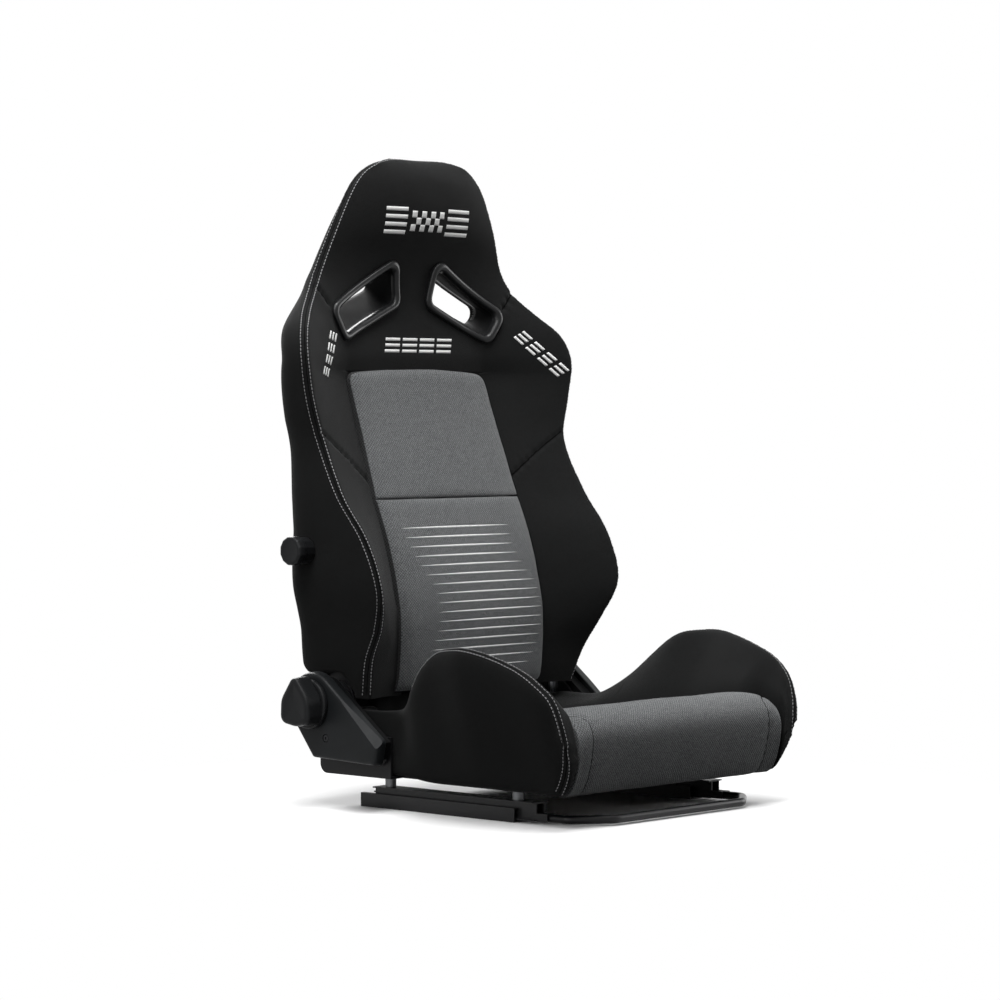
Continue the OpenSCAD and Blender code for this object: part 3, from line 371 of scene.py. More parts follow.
def seam_line(name, paths, surface, width=1.3 * MM, sunk=0.25 * MM, sides=6):
    """The dark line where two pieces of cloth meet."""
    points, faces = [], []
    for path in paths:
        first = len(points)
        steps = even_steps(path, 3 * MM)
        for p, way in steps:
            at, normal = surface.find_nearest(p)[:2]
            side = way.cross(normal).normalized()
            at = at - normal * sunk
            for k in range(sides):
                a = 2 * math.pi * k / sides
                points.append(at + side * width / 2 * math.cos(a) + normal * 0.6 * MM * math.sin(a))
        faces += [tuple(first + i for i in f) for f in ring_faces(len(steps), sides)]
    return make_piece(name, points, faces, unit=1.0)


# ---- the back's cover --------------------------------------------------------------------------
HALF_COLUMNS = 20  # points of a ring from the middle to the ridge
PAD_COLUMNS = 8  # of these, behind the middle pads
# the hollows beside the recliners: x of the floor, depth, radius, width of the ramp round it
HOLLOW_X, HOLLOW_DEPTH, HOLLOW_R, HOLLOW_RAMP = 208.5, 30, 47.5, 6


def back_ring(z):
    """Closed ring at height z: the front from right to left, then the rear back again."""
    x_r, y_r, x_s = ridge_x(z), ridge_y(z), side_x(z)
    in_pad = z < PAD_TOP_Z - 0.5
    if in_pad:
        x_i = min(pad_half(z) + 0.8, x_r * 0.62)
    else:
        x_i = min(pad_half(min(z, PAD_TOP_Z - PAD_CORNER)), x_r * 0.62)
    bed_y = centre_y(z) + PAD_T - 4
    front = []
    for k in range(HALF_COLUMNS + 1):
        if k < PAD_COLUMNS:
            x = (x_i - 3) * k / PAD_COLUMNS
        elif k == PAD_COLUMNS:
            x = x_i - (0.6 if in_pad else 3)
        elif k == PAD_COLUMNS + 1:
            x = x_i + (0.4 if in_pad else 2)
        else:
            start = x_i + (4 if in_pad else 8)
            x = start + (x_r - start) * (k - PAD_COLUMNS - 2) / (HALF_COLUMNS - PAD_COLUMNS - 2)
        y = bed_y if in_pad and k <= PAD_COLUMNS else front_y(x, z)
        front.append((x, y))
    t = min(1.0, (TOP_Z - z) / 30)
    y0 = straight(CORNER_LINE, z, 1)
    edge = [
        (x_r + 0.8 + 1.7 * t, y_r + 1.5 + 3 * t),
        (x_s - 0.2, max(min(y_r + 9 + 4 * t, y0), y_r + 3 + 5 * t)),
    ]
    rear = []
    count = HALF_COLUMNS - 3
    for k in range(count + 1):
        x, y = rear_point((k / count) ** 1.15 * 0.999, z)
        rear.append((x, max(y, edge[1][1] + 2 + 1.5 * min(k, 3))))
    edge.append((x_s + 0.4 * t, (edge[1][1] + rear[0][1]) / 2 + 0.5))
    half = edge + rear[:-1]
    ring = [(-x, y, z) for x, y in reversed(front[1:])] + [(x, y, z) for x, y in front]
    ring += [(x, y, z) for x, y in half] + [(0, rear[-1][1], z)]
    return ring + [(-x, y, z) for x, y in reversed(half)]


BACK_STATIONS = (
    [157, 158.2, 160.5, 164, 168, 172, 177, 182, 186, 189.5, 194, 200, 208]
    + [219 + 12.1 * i for i in range(33)]
    + [614, 621, 627, 629.2, 630.4, 633, 638, 646, 656]
    + [667 + 11 * i for i in range(22)]
    + [907, 916, 924, 931, 937, 942, 946, 948.8, 950]
)


def slot_corners(top=0, foot=0):
    """The belt slot's outline on the left side; its upper and lower edges can be raised."""
    upper = [(41, 805 + top), (190, 723 + top)]
    return upper + [(156 + foot * 0.6, 673 + foot), (27 + foot * 0.15, 730 + foot)]


def inset_outline(corners, inset, radius, steps=8):
    """A convex outline of corners (x, z) drawn in by inset, with rounded corners."""
    n = len(corners)
    pts = [Vector(c) for c in corners]
    following = pts[1:] + pts[:1]
    if sum(a.x * b.y - b.x * a.y for a, b in zip(pts, following)) < 0:
        pts.reverse()
    centres = []
    for i in range(n):
        a, b, c = pts[i - 1], pts[i], pts[(i + 1) % n]
        d1, d2 = (b - a).normalized(), (c - b).normalized()
        n1, n2 = Vector((-d1.y, d1.x)), Vector((-d2.y, d2.x))
        off = inset + radius
        k = (n1 + n2) * (off / (1 + n1.dot(n2)))
        centres.append((b + k, math.atan2(-n1.y, -n1.x), math.atan2(-n2.y, -n2.x)))
    out = []
    for middle, a0, a1 in centres:
        while a1 < a0:
            a1 += 2 * math.pi
        for s in range(steps + 1):
            a = a0 + (a1 - a0) * s / steps
            out.append((middle.x + radius * math.cos(a), middle.y + radius * math.sin(a)))
    return out


def make_back_cover():
    """The black cover of the whole back, with room for the recliners at both sides of its foot."""
    cover = folded_piece("back_cover", [back_ring(z) for z in BACK_STATIONS], 2)
    radius = HOLLOW_R * MM
    for v in cover.data.vertices:
        reach = math.hypot(v.co.y - AXIS_Y * MM, v.co.z - AXIS_Z * MM)
        rise = ease((HOLLOW_R - HOLLOW_RAMP) * MM, radius, reach)
        limit = HOLLOW_X * MM + HOLLOW_DEPTH * MM * rise
        if reach < radius and abs(v.co.x) > limit:
            v.co.x = math.copysign(limit, v.co.x)
    return cover


# the cut through the cover: (y, rise of the slot's top) at both ends, inset, corner radius
SLOT_CUT = ((150, -2), (420, 16))
SLOT_INSET, SLOT_RADIUS = 5.2, 12


def cut_belt_slots(cover):
    """Cuts both belt slots through the cover."""
    cutters = []
    for side, word in SIDES:
        rings = []
        for y, rise in SLOT_CUT:
            outline = inset_outline(slot_corners(rise), SLOT_INSET, SLOT_RADIUS)
            rings.append([(side * x, y, z) for x, z in outline])
        n = len(rings[0])
        caps = [tuple(range(n)), tuple(range(2 * n - 1, n - 1, -1))]
        cutter = ring_piece(f"slot_cutter_{word}", rings, caps)
        mod = cover.modifiers.new("slot", "BOOLEAN")
        mod.object, mod.operation, mod.solver = cutter, "DIFFERENCE", "EXACT"
        cutters.append(cutter)
    settle(cover)
    for cutter in cutters:
        bpy.data.objects.remove(cutter)


def ridge_path(back, out, step=8):
    """Points along the ridge, foot to foot over the head, back mm behind it and out mm beside it."""
    side = []
    z = FOOT_Z + 4
    while z < TOP_Z - 4:
        side.append(Vector((ridge_x(z) + out, ridge_y(z) + back, z)) * MM)
        z += step
    over = [Vector((x, ridge_y(TOP_Z) + back * 0.6, TOP_Z + 1)) * MM for x in (40, 20, 0)]
    half = side + over
    return half + [Vector((-p.x, p.y, p.z)) for p in reversed(half[:-1])]


def front_path(knots, side):
    """A path over the back's front through knots (x, z)."""
    out = []
    for (x0, z0), (x1, z1) in zip(knots, knots[1:]):
        out += [(x0 + (x1 - x0) * i / 12, z0 + (z1 - z0) * i / 12) for i in range(12)]
    return mirrored([(x, front_y(x, z), z) for x, z in out + [knots[-1]]], side)


# ---- the middle pads ---------------------------------------------------------------------------
def make_back_pad(name, z0, z1, round_top):
    """A crowned pad from z0 to z1: front grid, sewn edge, side walls and back."""
    spans = both_ways([0, 0.14, 0.29, 0.44, 0.58, 0.71, 0.82, 0.9, 0.955, 0.985, 1.0])
    h = z1 - z0
    rows = [0, 0.004, 0.014, 0.03, 0.06, 0.11] + [0.18 + 0.08 * i for i in range(9)]
    rows += [0.89, 0.94, 0.97, 0.986, 0.996, 1.0]
    rings = []
    for s in rows:
        z = z0 + h * s
        near_end = max(0.0, 1 - min(s, 1 - s) * h / 9)
        half = straight(PAD_LINE, z) - 0.4
        if round_top:
            half = pad_half(z) - 0.4
        drop = 5.5 * near_end ** 2.2
        if abs(z - PAD_SEAM_Z) < h / 2:
            drop = 2.4 * near_end ** 6
        arch = 5.5 * s ** 6 if round_top else 0
        front = []
        for v in spans:
            y = centre_y(z) + drop + 7 * abs(v) ** 16 - 2.2 * (1 - v * v) * (1 - near_end)
            front.append((half * v, y, z + arch * (1 - v * v)))
        back = [((half - 1.5) * v, centre_y(z) + PAD_T - 0.5, z) for v in reversed(spans)]
        rings.append(front + back)
    return folded_piece(name, rings, 2)


# ---- seat base ---------------------------------------------------------------------------------
HANG_Z, PAN_TOP_Z, PAN_HALF = 44, 64, 204  # foot of the covers, top and half width of the pan
NOTCH_X, NOTCH_Y, NOTCH_Z = 205, 148, 106  # where the bolsters give way to the recliners
# y, half width of the cushion
CUSHION_PLAN = [(-289, 228), (-237, 228), (-221, 205), (-110, 203), (0, 185), (70, 165), (208, 165)]
# outline of the cushion from its front foot over the crest to its rear foot
CUSHION_SIDE = [
    (-258, 45), (-268, 57), (-276, 77), (-281, 99), (-284, 122), (-282, 137), (-275, 149), (-263, 158),
    (-248, 163), (-232, 164), (-214, 162.5), (-190, 158.5), (-165, 153.5), (-140, 148), (-105, 140),
    (-70, 133), (-35, 130), (0, 128), (35, 126.5), (70, 125), (105, 124), (140, 121), (151, 116),
    (157, 104),
]
# and on along its underside back to the front foot
CUSHION_UNDER = [
    (156, 65), (70, 64.5), (0, 64.5), (-110, 64.5), (-221, 64.5), (-231.5, 64), (-233, 45),
    (-252, 44.5),
]


def make_cushion():
    """The grey middle cushion: its side outline, carried across from bolster to bolster."""
    spans = both_ways([0, 0.2, 0.4, 0.58, 0.74, 0.86, 0.93, 0.965, 0.985, 1.0])
    rings = []
    for v in spans:
        edge = abs(v) ** 18
        ring = []
        for y, z in CUSHION_SIDE:
            low = min(1.0, (z - HANG_Z) / 40)
            half = straight(CUSHION_PLAN, y) - SOFT_GAP - 1.5
            ring.append((v * half, y, z - 13 * edge * low))
        for y, z in CUSHION_UNDER:
            ring.append((v * (straight(CUSHION_PLAN, y) - SOFT_GAP - 2.5), y, z))
        rings.append(ring)
    n = len(rings[0])
    caps = [tuple(range(n - 1, -1, -1)), tuple((len(rings) - 1) * n + i for i in range(n))]
    return ring_piece("cushion_cover", rings, caps, 2)


# y, half width at the crest, height of the crest, height of the foot, half width at the foot
HORN_LINE = [
    (-284, 252, 120, 98, 249), (-280, 259, 148, 80, 243), (-270, 262, 178, 58, 238),
    (-254, 269, 196, 44, 238), (-228, 273, 215, 44, 238), (-195, 274, 228, 44, 239),
    (-150, 279, 241, 44, 240), (-115, 283, 246, 44, 240), (-90, 278, 244, 44, 239),
    (-55, 269, 238, 44, 237), (-20, 261, 213, 44, 234), (11, 248, 180, 46, 231),
    (45, 223, 151, 50, 228), (75, 224, 143, 50, 225), (120, 224, 142, 50, 225),
    (208, 224, 142, 50, 225),
]


def horn_ring(y):
    """Section (x, z) of the left bolster at y, from its inner foot round to its inner top."""
    rear = y > NOTCH_Y
    x_r = NOTCH_X - 8 if rear else smooth(HORN_LINE, y, 1)
    top, low, x_b = (smooth(HORN_LINE, y, k) for k in (2, 3, 4))
    flare = min(7.0, max(0.0, (75 - y) / 4))
    x_i = straight(CUSHION_PLAN, y) + SOFT_GAP
    inner_z = min(top - 12, straight(CUSHION_SIDE[7:], y) - 4)
    step_x = max(PAN_HALF + SOFT_GAP, x_i + 1.5)
    base = max(low, HANG_Z)
    step_z = max(base + 1, min(PAN_TOP_Z, base + (inner_z - base) * 0.4))
    mid_z = max(inner_z, step_z + 3)
    x_top = max(x_r - 17, x_i + 1)
    shelf = NOTCH_Z if rear else top - (top - base) * 0.12
    if rear:
        outer = [(x_b, base + (shelf - base) * 0.5), (x_b, shelf - 3), (x_b - 3, shelf), (x_r + 7, shelf),
                 (x_r + 6, top - 6), (x_r, top), (x_top - 6, top), (x_i + (x_top - x_i) * 0.5, top)]
    else:
        outer = [
            (x_b + (x_r - x_b) * 0.55, base + (top - base) * 0.4),
            (x_b + (x_r - x_b) * 0.95 + flare * 0.3, base + (top - base) * 0.7),
            (x_r + flare, shelf), (x_r + flare * 0.6, top - 3), (x_r, top),
            (x_r - (x_r - x_top) * 0.55, top - 1), (x_top, top - 7),
            (x_i + (x_top - x_i) * 0.5, mid_z + (top - mid_z) * 0.45),
        ]
    inner = [(x_i, step_z), (step_x, step_z), (step_x, base)]
    foot = [(x_b - 4, base), (x_b, base + (shelf - base) * 0.1)]
    return inner + foot + outer + [(x_i, mid_z)]


HORN_STATIONS = [
    -283.5, -282, -280, -275, -269, -261, -251, -237, -221, -204, -187, -170, -155, -140, -125, -110,
    -95, -80, -66, -50, -35, -20, -5, 10, 25, 45, 58, 70, 90, 110, 130, 147, 148.4, 165, 185, 200, 206,
    208,
]


def make_horn(name, side):
    """A side bolster of the base, high in front of the middle."""
    rings = [[(side * x, y, z) for x, z in horn_ring(y)] for y in HORN_STATIONS]
    cap = [(1, i, i + 1) for i in range(2, 8)] + [(0, 1, 8)] + [(0, i, i + 1) for i in range(8, 13)]
    last = (len(rings) - 1) * len(rings[0])
    return ring_piece(name, rings, cap + [tuple(last + i for i in f[::-1]) for f in cap], 2)


FLAP_T = 1.8  # thickness of the flap's cloth


def make_skirt():
    """The cloth flap below the pads, hanging in shallow folds, its ends turned back."""
    rows, columns, narrow_z = 12, 80, 156
    rings = []
    for j in range(rows + 1):
        z = 124 + 39 * j / rows
        half = 156 if z > narrow_z else 180.5
        ring = []
        for depth, order in ((-FLAP_T / 2, 1), (FLAP_T / 2, -1)):
            for i in range(columns + 1)[::order]:
                v = i / columns * 2 - 1
                fold = 0.9 * math.sin(v * 31) * (1 - j / rows)
                turn = 9.5 * ease(0.955, 1, abs(v)) if z <= narrow_z else 0
                ring.append((v * half, 156.5 + depth + fold + turn, z))
        rings.append(ring)
    return folded_piece("skirt_cloth", rings)


def make_skirt_end(name, side):
    """The flap's end, folded back below the wing."""
    rings = []
    for j in range(9):
        z = 139 + 19.5 * j / 8
        fold = 0.5 * math.sin(j * 0.8)
        y = 166.5 + fold - FLAP_T / 2
        front = [(side * (178 + 28 * i / 10), y, z) for i in range(11)]
        rings.append(front + [(x, y + FLAP_T, z) for x, y, _ in reversed(front)])
    return folded_piece(name, rings)


# ---- rear panel --------------------------------------------------------------------------------
PANEL_HALF, PANEL_T = 198, 4.2


def make_back_panel():
    """The thin shell over the back's rear, with a rounded edge all round."""
    spans = both_ways([0, 0.15, 0.3, 0.45, 0.6, 0.74, 0.85, 0.92, 0.965, 0.99, 1.0])
    heights = [191, 193, 197, 204, 214] + [227 + 16 * i for i in range(25)] + [621, 626, 629]
    rings = []
    for z in heights:
        near_end = max(0.0, 1 - min(z - heights[0], heights[-1] - z) / 6)
        front, back = [], []
        for v in spans:
            x, y = PANEL_HALF * v, rear_plan(PANEL_HALF * v, z) + SOFT_GAP + 0.4
            front.append((x, y, z))
            back.append((x, y + PANEL_T * (1 - 0.75 * max(abs(v) ** 24, near_end ** 2)), z))
        rings.append(front + back[::-1])
    return folded_piece("back_panel_shell", rings, 1)


# ---- hard parts --------------------------------------------------------------------------------
def evenly(points, n):
    """A closed outline resampled to n points at even steps."""
    closed = points + [points[0]]
    lengths = [0.0]
    for a, b in zip(closed, closed[1:]):
        lengths.append(lengths[-1] + math.dist(a, b))
    out, j = [], 0
    for i in range(n):
        at = lengths[-1] * i / n
        while lengths[j + 1] < at:
            j += 1
        t = (at - lengths[j]) / max(lengths[j + 1] - lengths[j], 1e-9)
        out.append(tuple(a + (b - a) * t for a, b in zip(closed[j], closed[j + 1])))
    return out


def hull_outline(circles, inset=0.0, n=96):
    """Outline of the hull of circles (y, z, r), drawn in by inset."""
    middle = Vector((sum(c[0] for c in circles), sum(c[1] for c in circles))) / len(circles)
    out = []
    for i in range(360):
        a = math.radians(i)
        d = Vector((math.cos(a), math.sin(a)))
        y, z, r = max(circles, key=lambda c: c[0] * d.x + c[1] * d.y + c[2])
        left = max(0.0, inset - r + 1)
        centre = Vector((y, z))
        centre += (middle - centre).normalized() * left * 1.25
        out.append(tuple(centre + d * max(r - inset, 1.0)))
    return evenly(out, n)


def make_loft(name, layers, side=1):
    """Closed solid from layers (x, outline in y and z), outermost last."""
    n = len(layers[0][1])
    points = [(side * x, y, z) for x, outline in layers for y, z in outline]
    faces = ring_faces(len(layers), n)
    for j in (0, len(layers) - 1):
        outline = layers[j][1]
        middle = [sum(p[k] for p in outline) / n for k in (0, 1)]
        points.append((side * layers[j][0], *middle))
        faces += [(j * n + i, j * n + (i + 1) % n, len(points) - 1) for i in range(n)]
    obj = make_piece(name, points, faces)
    face_outwards(obj)
    return obj


def circle(r, y, z):
    """Outline (y, z) of a circle."""
    turns = [math.radians(a) for a in range(0, 360, 5)]
    return [(y + r * math.cos(a), z + r * math.sin(a)) for a in turns]


def round_bar(name, x0, x1, d, y, z):
    ring = circle(d / 2, y, z)
    return make_loft(name, [(x0, ring), (x1, ring)])


def cut(obj, cutter):
    """Cuts one form out of another."""
    mod = obj.modifiers.new("cut", "BOOLEAN")
    mod.object, mod.operation, mod.solver = cutter, "DIFFERENCE", "EXACT"
    settle(obj)
    bpy.data.objects.remove(cutter)


def soft_edges(obj, width, angle):
    """Breaks the edges sharper than the angle."""
    mod = obj.modifiers.new("edges", "BEVEL")
    mod.width, mod.segments, mod.limit_method = width, 2, "ANGLE"
    mod.angle_limit = math.radians(angle)
    mod.harden_normals = True


# the hinge covers' outline is the hull of these circles (y, z, radius)
HINGE_CIRCLES = [(190, 150, 46), (185, 77, 5), (67, 75, 7), (62, 100, 7), (114, 141, 6)]
COVER_END = 272  # x of the outer face
SCREW_Y, SCREW_Z = 160, 102
SCREW_WELL_D, AXIS_WELL_D, WELL_DEPTH = 12, 14, 2.9
# x and inset of the cover's layers: a foot set in, then the moulding
COVER_LAYERS = [
    (236, 8), (237, 8), (253.6, 8), (254, 7.2), (254.2, 1.6), (254.6, 0.6), (255.6, 0), (264, 0.3),
    (268, 0.9), (270, 1.7), (271.2, 2.8), (271.8, 4.2), (COVER_END, 6), (COVER_END, 20),
]
COVER_FOOT_X = 254.3  # the foot's walls, dark with painted shade, end here


def make_hinge_cover(name, side):
    """A moulded side cover with a facet, a well for its screw and one for the shaft."""
    layers = [(x, hull_outline(HINGE_CIRCLES, inset, 192)) for x, inset in COVER_LAYERS]
    cover = make_loft(name, layers, side)
    # facet along the sloping front edge: (face depth, wall depth) at its two ends
    ends = []
    for y, z, on_face, on_wall in ((36, 88, 12, 13), (146, 175, 3, 3)):
        normal = Vector((0, -0.62, 0.785))
        edge = Vector((COVER_END, y, z))
        inner, outer = edge - normal * on_face, edge - Vector((on_wall, 0, 0))
        way = outer - inner
        ends.append([inner - way * 1.5, outer + way * 1.5, edge + normal * 60 + Vector((60, 0, 0))])
    points = [(side * p.x, p.y, p.z) for ring in ends for p in ring]
    faces = [(0, 1, 2), (5, 4, 3), (0, 3, 4, 1), (1, 4, 5, 2), (2, 5, 3, 0)]
    wedge = make_piece("facet_cutter", points, faces)
    face_outwards(wedge)
    cut(cover, wedge)
    for d, y, z in ((SCREW_WELL_D, SCREW_Y, SCREW_Z), (AXIS_WELL_D, AXIS_Y, AXIS_Z)):
        ends = sorted((side * (COVER_END - WELL_DEPTH), side * (COVER_END + 2)))
        cut(cover, round_bar("hole", *ends, d, y, z))
    soft_edges(cover, 0.4 * MM, 24)
    return settle(cover)


# the lever: circles (y, z, radius) of its grip, and x and inset of both parts' layers
HUB_R = 36
HUB_LAYERS = [(272.4, 1.6), (272.9, 0.5), (273.8, 0), (277.5, 0), (279.2, 0.5), (280, 1.6), (280.3, 4)]
GRIP_LOBES = [(191, 179, 11), (174, 135, 14), (206, 135, 14), (190, 148, 29.5)]
GRIP_LAYERS = [
    (280.2, -0.6), (282, -0.3), (288, 0.1), (295, 0.4), (301, 0.8), (303.6, 1.3), (305.2, 2.2),
    (306.2, 3.6), (306.7, 5.6), (306.9, 9), (306.6, 10.4),
]


def make_lever():
    """The lever's round hub and its shield-shaped grip."""
    hub = [(x, hull_outline([(AXIS_Y, AXIS_Z, HUB_R)], inset)) for x, inset in HUB_LAYERS]
    grip = [(x, hull_outline(GRIP_LOBES, inset)) for x, inset in GRIP_LAYERS]
    return make_loft("lever_hub", hub, -1), make_loft("lever_grip", grip, -1)


KNOB_Y, KNOB_Z = 204, 371  # the lumbar knob's axis
KNOB_SIDES = 12


def knob_outline(r, corner=2.4):
    """The knob's outline with as many rounded corners as it has sides."""
    circles = []
    reach = r - corner
    for i in range(KNOB_SIDES):
        a = math.radians(360 / KNOB_SIDES * (i + 0.5))
        circles.append((KNOB_Y + reach * math.cos(a), KNOB_Z + reach * math.sin(a), corner))
    return hull_outline(circles, n=120)


# x and radius of the knob's layers, from its neck to the dished cap, and of the ring behind it
KNOB_LAYERS = [
    (267, 18.0), (267.6, 18.8), (268.6, 19.1), (284, 19.4), (286, 20.2), (287.4, 21.2), (288.6, 21.5),
    (297.6, 21.2), (299.6, 20.4), (300.6, 19.0), (301, 17.0), (300.5, 14.5), (300.3, 6),
]
WASHER_LAYERS = [(257, 25), (262.4, 25), (263.6, 24.4), (264, 23.2), (264, 12)]


def make_knob():
    """The lumbar knob and the ring it turns on."""
    knob = [(x, knob_outline(r)) for x, r in KNOB_LAYERS]
    washer = [(x, circle(r, KNOB_Y, KNOB_Z)) for x, r in WASHER_LAYERS]
    return make_loft("lumbar_knob_grip", knob, -1), make_loft("lumbar_knob_seat", washer, -1)


# ---- belt slot bezels --------------------------------------------------------------------------
BEZEL_POINTS = 96  # points round the bezel in each row
DUCT_ROWS = (10, 15)  # the first row of the duct's walls, which get painted shade, and the row after the last


def rear_plan(x, z):
    """y of the rounded rear at distance x from the middle."""
    y0, n = straight(CORNER_LINE, z, 1), straight(CORNER_LINE, z, 2)
    return y0 + (rear_y(z) - y0) * (1 - min(1, abs(x) / side_x(z)) ** n) ** (1 / n)


# rows of the bezel: (inset, depth behind the front) round the rim and into the duct,
# then (inset, depth behind the rear, rise of the foot) through the rear lip and outside it,
# then back inside the back
BEZEL_FRONT = [
    (1.5, 3.5), (0.2, 1.2), (-0.9, -1.2), (-0.9, -3.6), (0.4, -6.0), (2.6, -7.8), (5.2, -8.4),
    (7.8, -7.4), (9.8, -5.0), (10.8, -1.8), (11.0, 2), (11.6, 9),
]
BEZEL_REAR = [
    (6.0, -9, 23), (6.4, -1, 23), (6.2, 1.2, 23), (5.2, 2.2, 21), (3.6, 2.5, 8), (2.6, 2.2, 0),
    (0.5, 0.9, 0), (0, -1, 0), (1.2, -1.9, 0), (6.1, -1.9, 0), (6.1, -6, 0),
]
BEZEL_INSIDE = [(6.1, 9), (6.1, 4.5)]
BEZEL_RADIUS, REAR_RISE = 17, 8


def make_bezel(name, side):
    """A rounded rim round the slot, a funnel through the back and a thin rear lip."""
    stations = [(False, inset, depth, 0) for inset, depth in BEZEL_FRONT]
    stations += [(True, *row) for row in BEZEL_REAR]
    stations += [(False, inset, depth, 0) for inset, depth in BEZEL_INSIDE]
    top_x, top_z = slot_corners()[0]
    n = BEZEL_POINTS
    rings = []
    for at_rear, inset, depth, foot in stations:
        corners = slot_corners(REAR_RISE if at_rear else 0, foot)
        radius = max(BEZEL_RADIUS - max(inset, 0) * 0.62, 6)
        outline = evenly(inset_outline(corners, inset, radius), n)
        start = min(range(n), key=lambda i: (outline[i][0] - top_x) ** 2 + (outline[i][1] - top_z) ** 2)
        outline = outline[start:] + outline[:start]
        place = rear_plan if at_rear else front_y
        rings.append([(side * x, place(x, z) + depth, z) for x, z in outline])
    last = (len(rings) - 1) * n
    closing = [(last + i, last + (i + 1) % n, (i + 1) % n, i) for i in range(n)]
    return ring_piece(name, rings, closing)


# ---- patches sewn or printed on the cloth ------------------------------------------------------
def patch_mesh(outlines, surface, thick, cell):
    """Raised patches on the surface's front: each outline is four corners (x, z) in millimetres."""
    points, faces = [], []
    for corners in outlines:
        a, b, c, d = (Vector(p) for p in corners)
        nu = max(2, round(max((b - a).length, (c - d).length) / cell))
        nv = max(2, round(max((d - a).length, (c - b).length) / cell))
        top, low = [], []
        for j in range(nv + 1):
            for i in range(nu + 1):
                u, v = i / nu, j / nv
                p = (a * (1 - u) + b * u) * (1 - v) + (d * (1 - u) + c * u) * v
                start = Vector((p.x * MM, -0.2, p.y * MM))
                at, normal = surface.ray_cast(start, Vector((0, 1, 0)))[:2]
                if at is None:
                    at, normal = surface.find_nearest(Vector((p.x * MM, 0.2, p.y * MM)))[:2]
                edge = min(i, nu - i, j, nv - j)
                top.append(at + normal * thick * (0.45 if edge == 0 else 1.0))
                low.append(at - normal * 0.6 * MM)
        first = len(points)
        points += top + low
        w, half = nu + 1, len(top)
        for j in range(nv):
            for i in range(nu):
                k = first + j * w + i
                faces.append((k, k + 1, k + w + 1, k + w))
                faces.append((k + half + w, k + half + w + 1, k + half + 1, k + half))
        border = [i for i in range(nu)] + [w * j + nu for j in range(nv)]
        border += [w * nv + i for i in range(nu, 0, -1)] + [w * j for j in range(nv, 0, -1)]
        for k, m in zip(border, border[1:] + border[:1]):
            faces.append((first + m, first + k, first + k + half, first + m + half))
    return points, faces


def make_patches(name, outlines, surface, thick=0.6 * MM, cell=2.2):
    """One piece of all the patches with these outlines."""
    obj = make_piece(name, *patch_mesh(outlines, surface, thick, cell), unit=1.0)
    face_outwards(obj)
    return obj


# left and right ends of the printed stripes at height z
STRIPE_ENDS = [(194, -118, 118), (222, -97, 134), (250, -85, 147), (277, -80, 148), (304, -82, 143),
               (318, -88, 137), (345, -107, 116), (373, -120, 103), (401, -127, 103)]
STRIPE_COUNT, STRIPE_TOP_Z, STRIPE_PITCH, STRIPE_WIDTH = 16, 400.5, 13.75, 2.5


def stripe_outlines():
    """The printed stripes, each tapering to a point at both ends, in short cells."""
    out = []
    steps = 24
    for i in range(STRIPE_COUNT):
        z = STRIPE_TOP_Z - STRIPE_PITCH * i
        x0, x1 = straight(STRIPE_ENDS, z, 1), straight(STRIPE_ENDS, z, 2)
        for k in range(steps):
            t = (k / steps, (k + 1) / steps)
            a, b = (STRIPE_WIDTH * math.sin(math.pi * min(max(v, 0.004), 0.996)) ** 0.7 for v in t)
            xa, xb = (x0 + (x1 - x0) * v for v in t)
            out.append([(xa, z - a / 2), (xb, z - b / 2), (xb, z + b / 2), (xa, z + a / 2)])
    return out


def stripe_blocks(start, end, height, count, rows, lean=0.3, gap=6.0):
    """Blocks of short stripes side by side from start to end (x, z), on the left of that line."""
    a, b = Vector(start), Vector(end)
    along = (b - a).normalized()
    across = Vector((-along.y, along.x))
    width = ((b - a).length - gap * (count - 1)) / count
    out = []
    for i in range(count):
        for j in range(rows):
            v0 = height * 2 * j / (2 * rows - 1)
            v1 = v0 + height / (2 * rows - 1)
            u = i * (width + gap)
            low = [(u + lean * v0, v0), (u + width + lean * v0, v0)]
            high = [(u + width + lean * v1, v1), (u + lean * v1, v1)]
            out.append([tuple(a + along * s + across * r) for s, r in low + high])
    return out


def chequered_band(x0, x1, z0, z1, columns, rows):
    """Every second square of a band."""
    out = []
    w, h = (x1 - x0) / columns, (z1 - z0) / rows
    for i in range(columns):
        for j in range(rows):
            if (i + j) % 2 == 0:
                a, b = x0 + w * i, z0 + h * j
                out.append([(a, b), (a + w, b), (a + w, b + h), (a, b + h)])
    return out


# ---- materials ---------------------------------------------------------------------------------
def new_group(name, inputs, outputs):
    """A shader node group with its sockets, and helpers to fill it."""
    tree = bpy.data.node_groups.new(name, "ShaderNodeTree")
    for label, kind, value in inputs:
        socket = tree.interface.new_socket(name=label, in_out="INPUT", socket_type=kind)
        if value is not None:
            socket.default_value = value
    for label, kind in outputs:
        tree.interface.new_socket(name=label, in_out="OUTPUT", socket_type=kind)
    return tree, tree.nodes.new("NodeGroupInput"), tree.nodes.new("NodeGroupOutput")


def math_node(tree, operation, *values):
    """The result of a sum on numbers and sockets."""
    node = tree.nodes.new("ShaderNodeMath")
    node.operation = operation
    for i, v in enumerate(values):
        if isinstance(v, (int, float)):
            node.inputs[i].default_value = v
        else:
            tree.links.new(v, node.inputs[i])
    return node.outputs[0]


def noise(tree, vector, scale, detail=3.0, rough=0.55):
    """Noise along a vector, about 0.5."""
    node = tree.nodes.new("ShaderNodeTexNoise")
    node.inputs["Scale"].default_value = scale
    node.inputs["Detail"].default_value = detail
    node.inputs["Roughness"].default_value = rough
    tree.links.new(vector, node.inputs["Vector"])
    return node.outputs["Fac"]


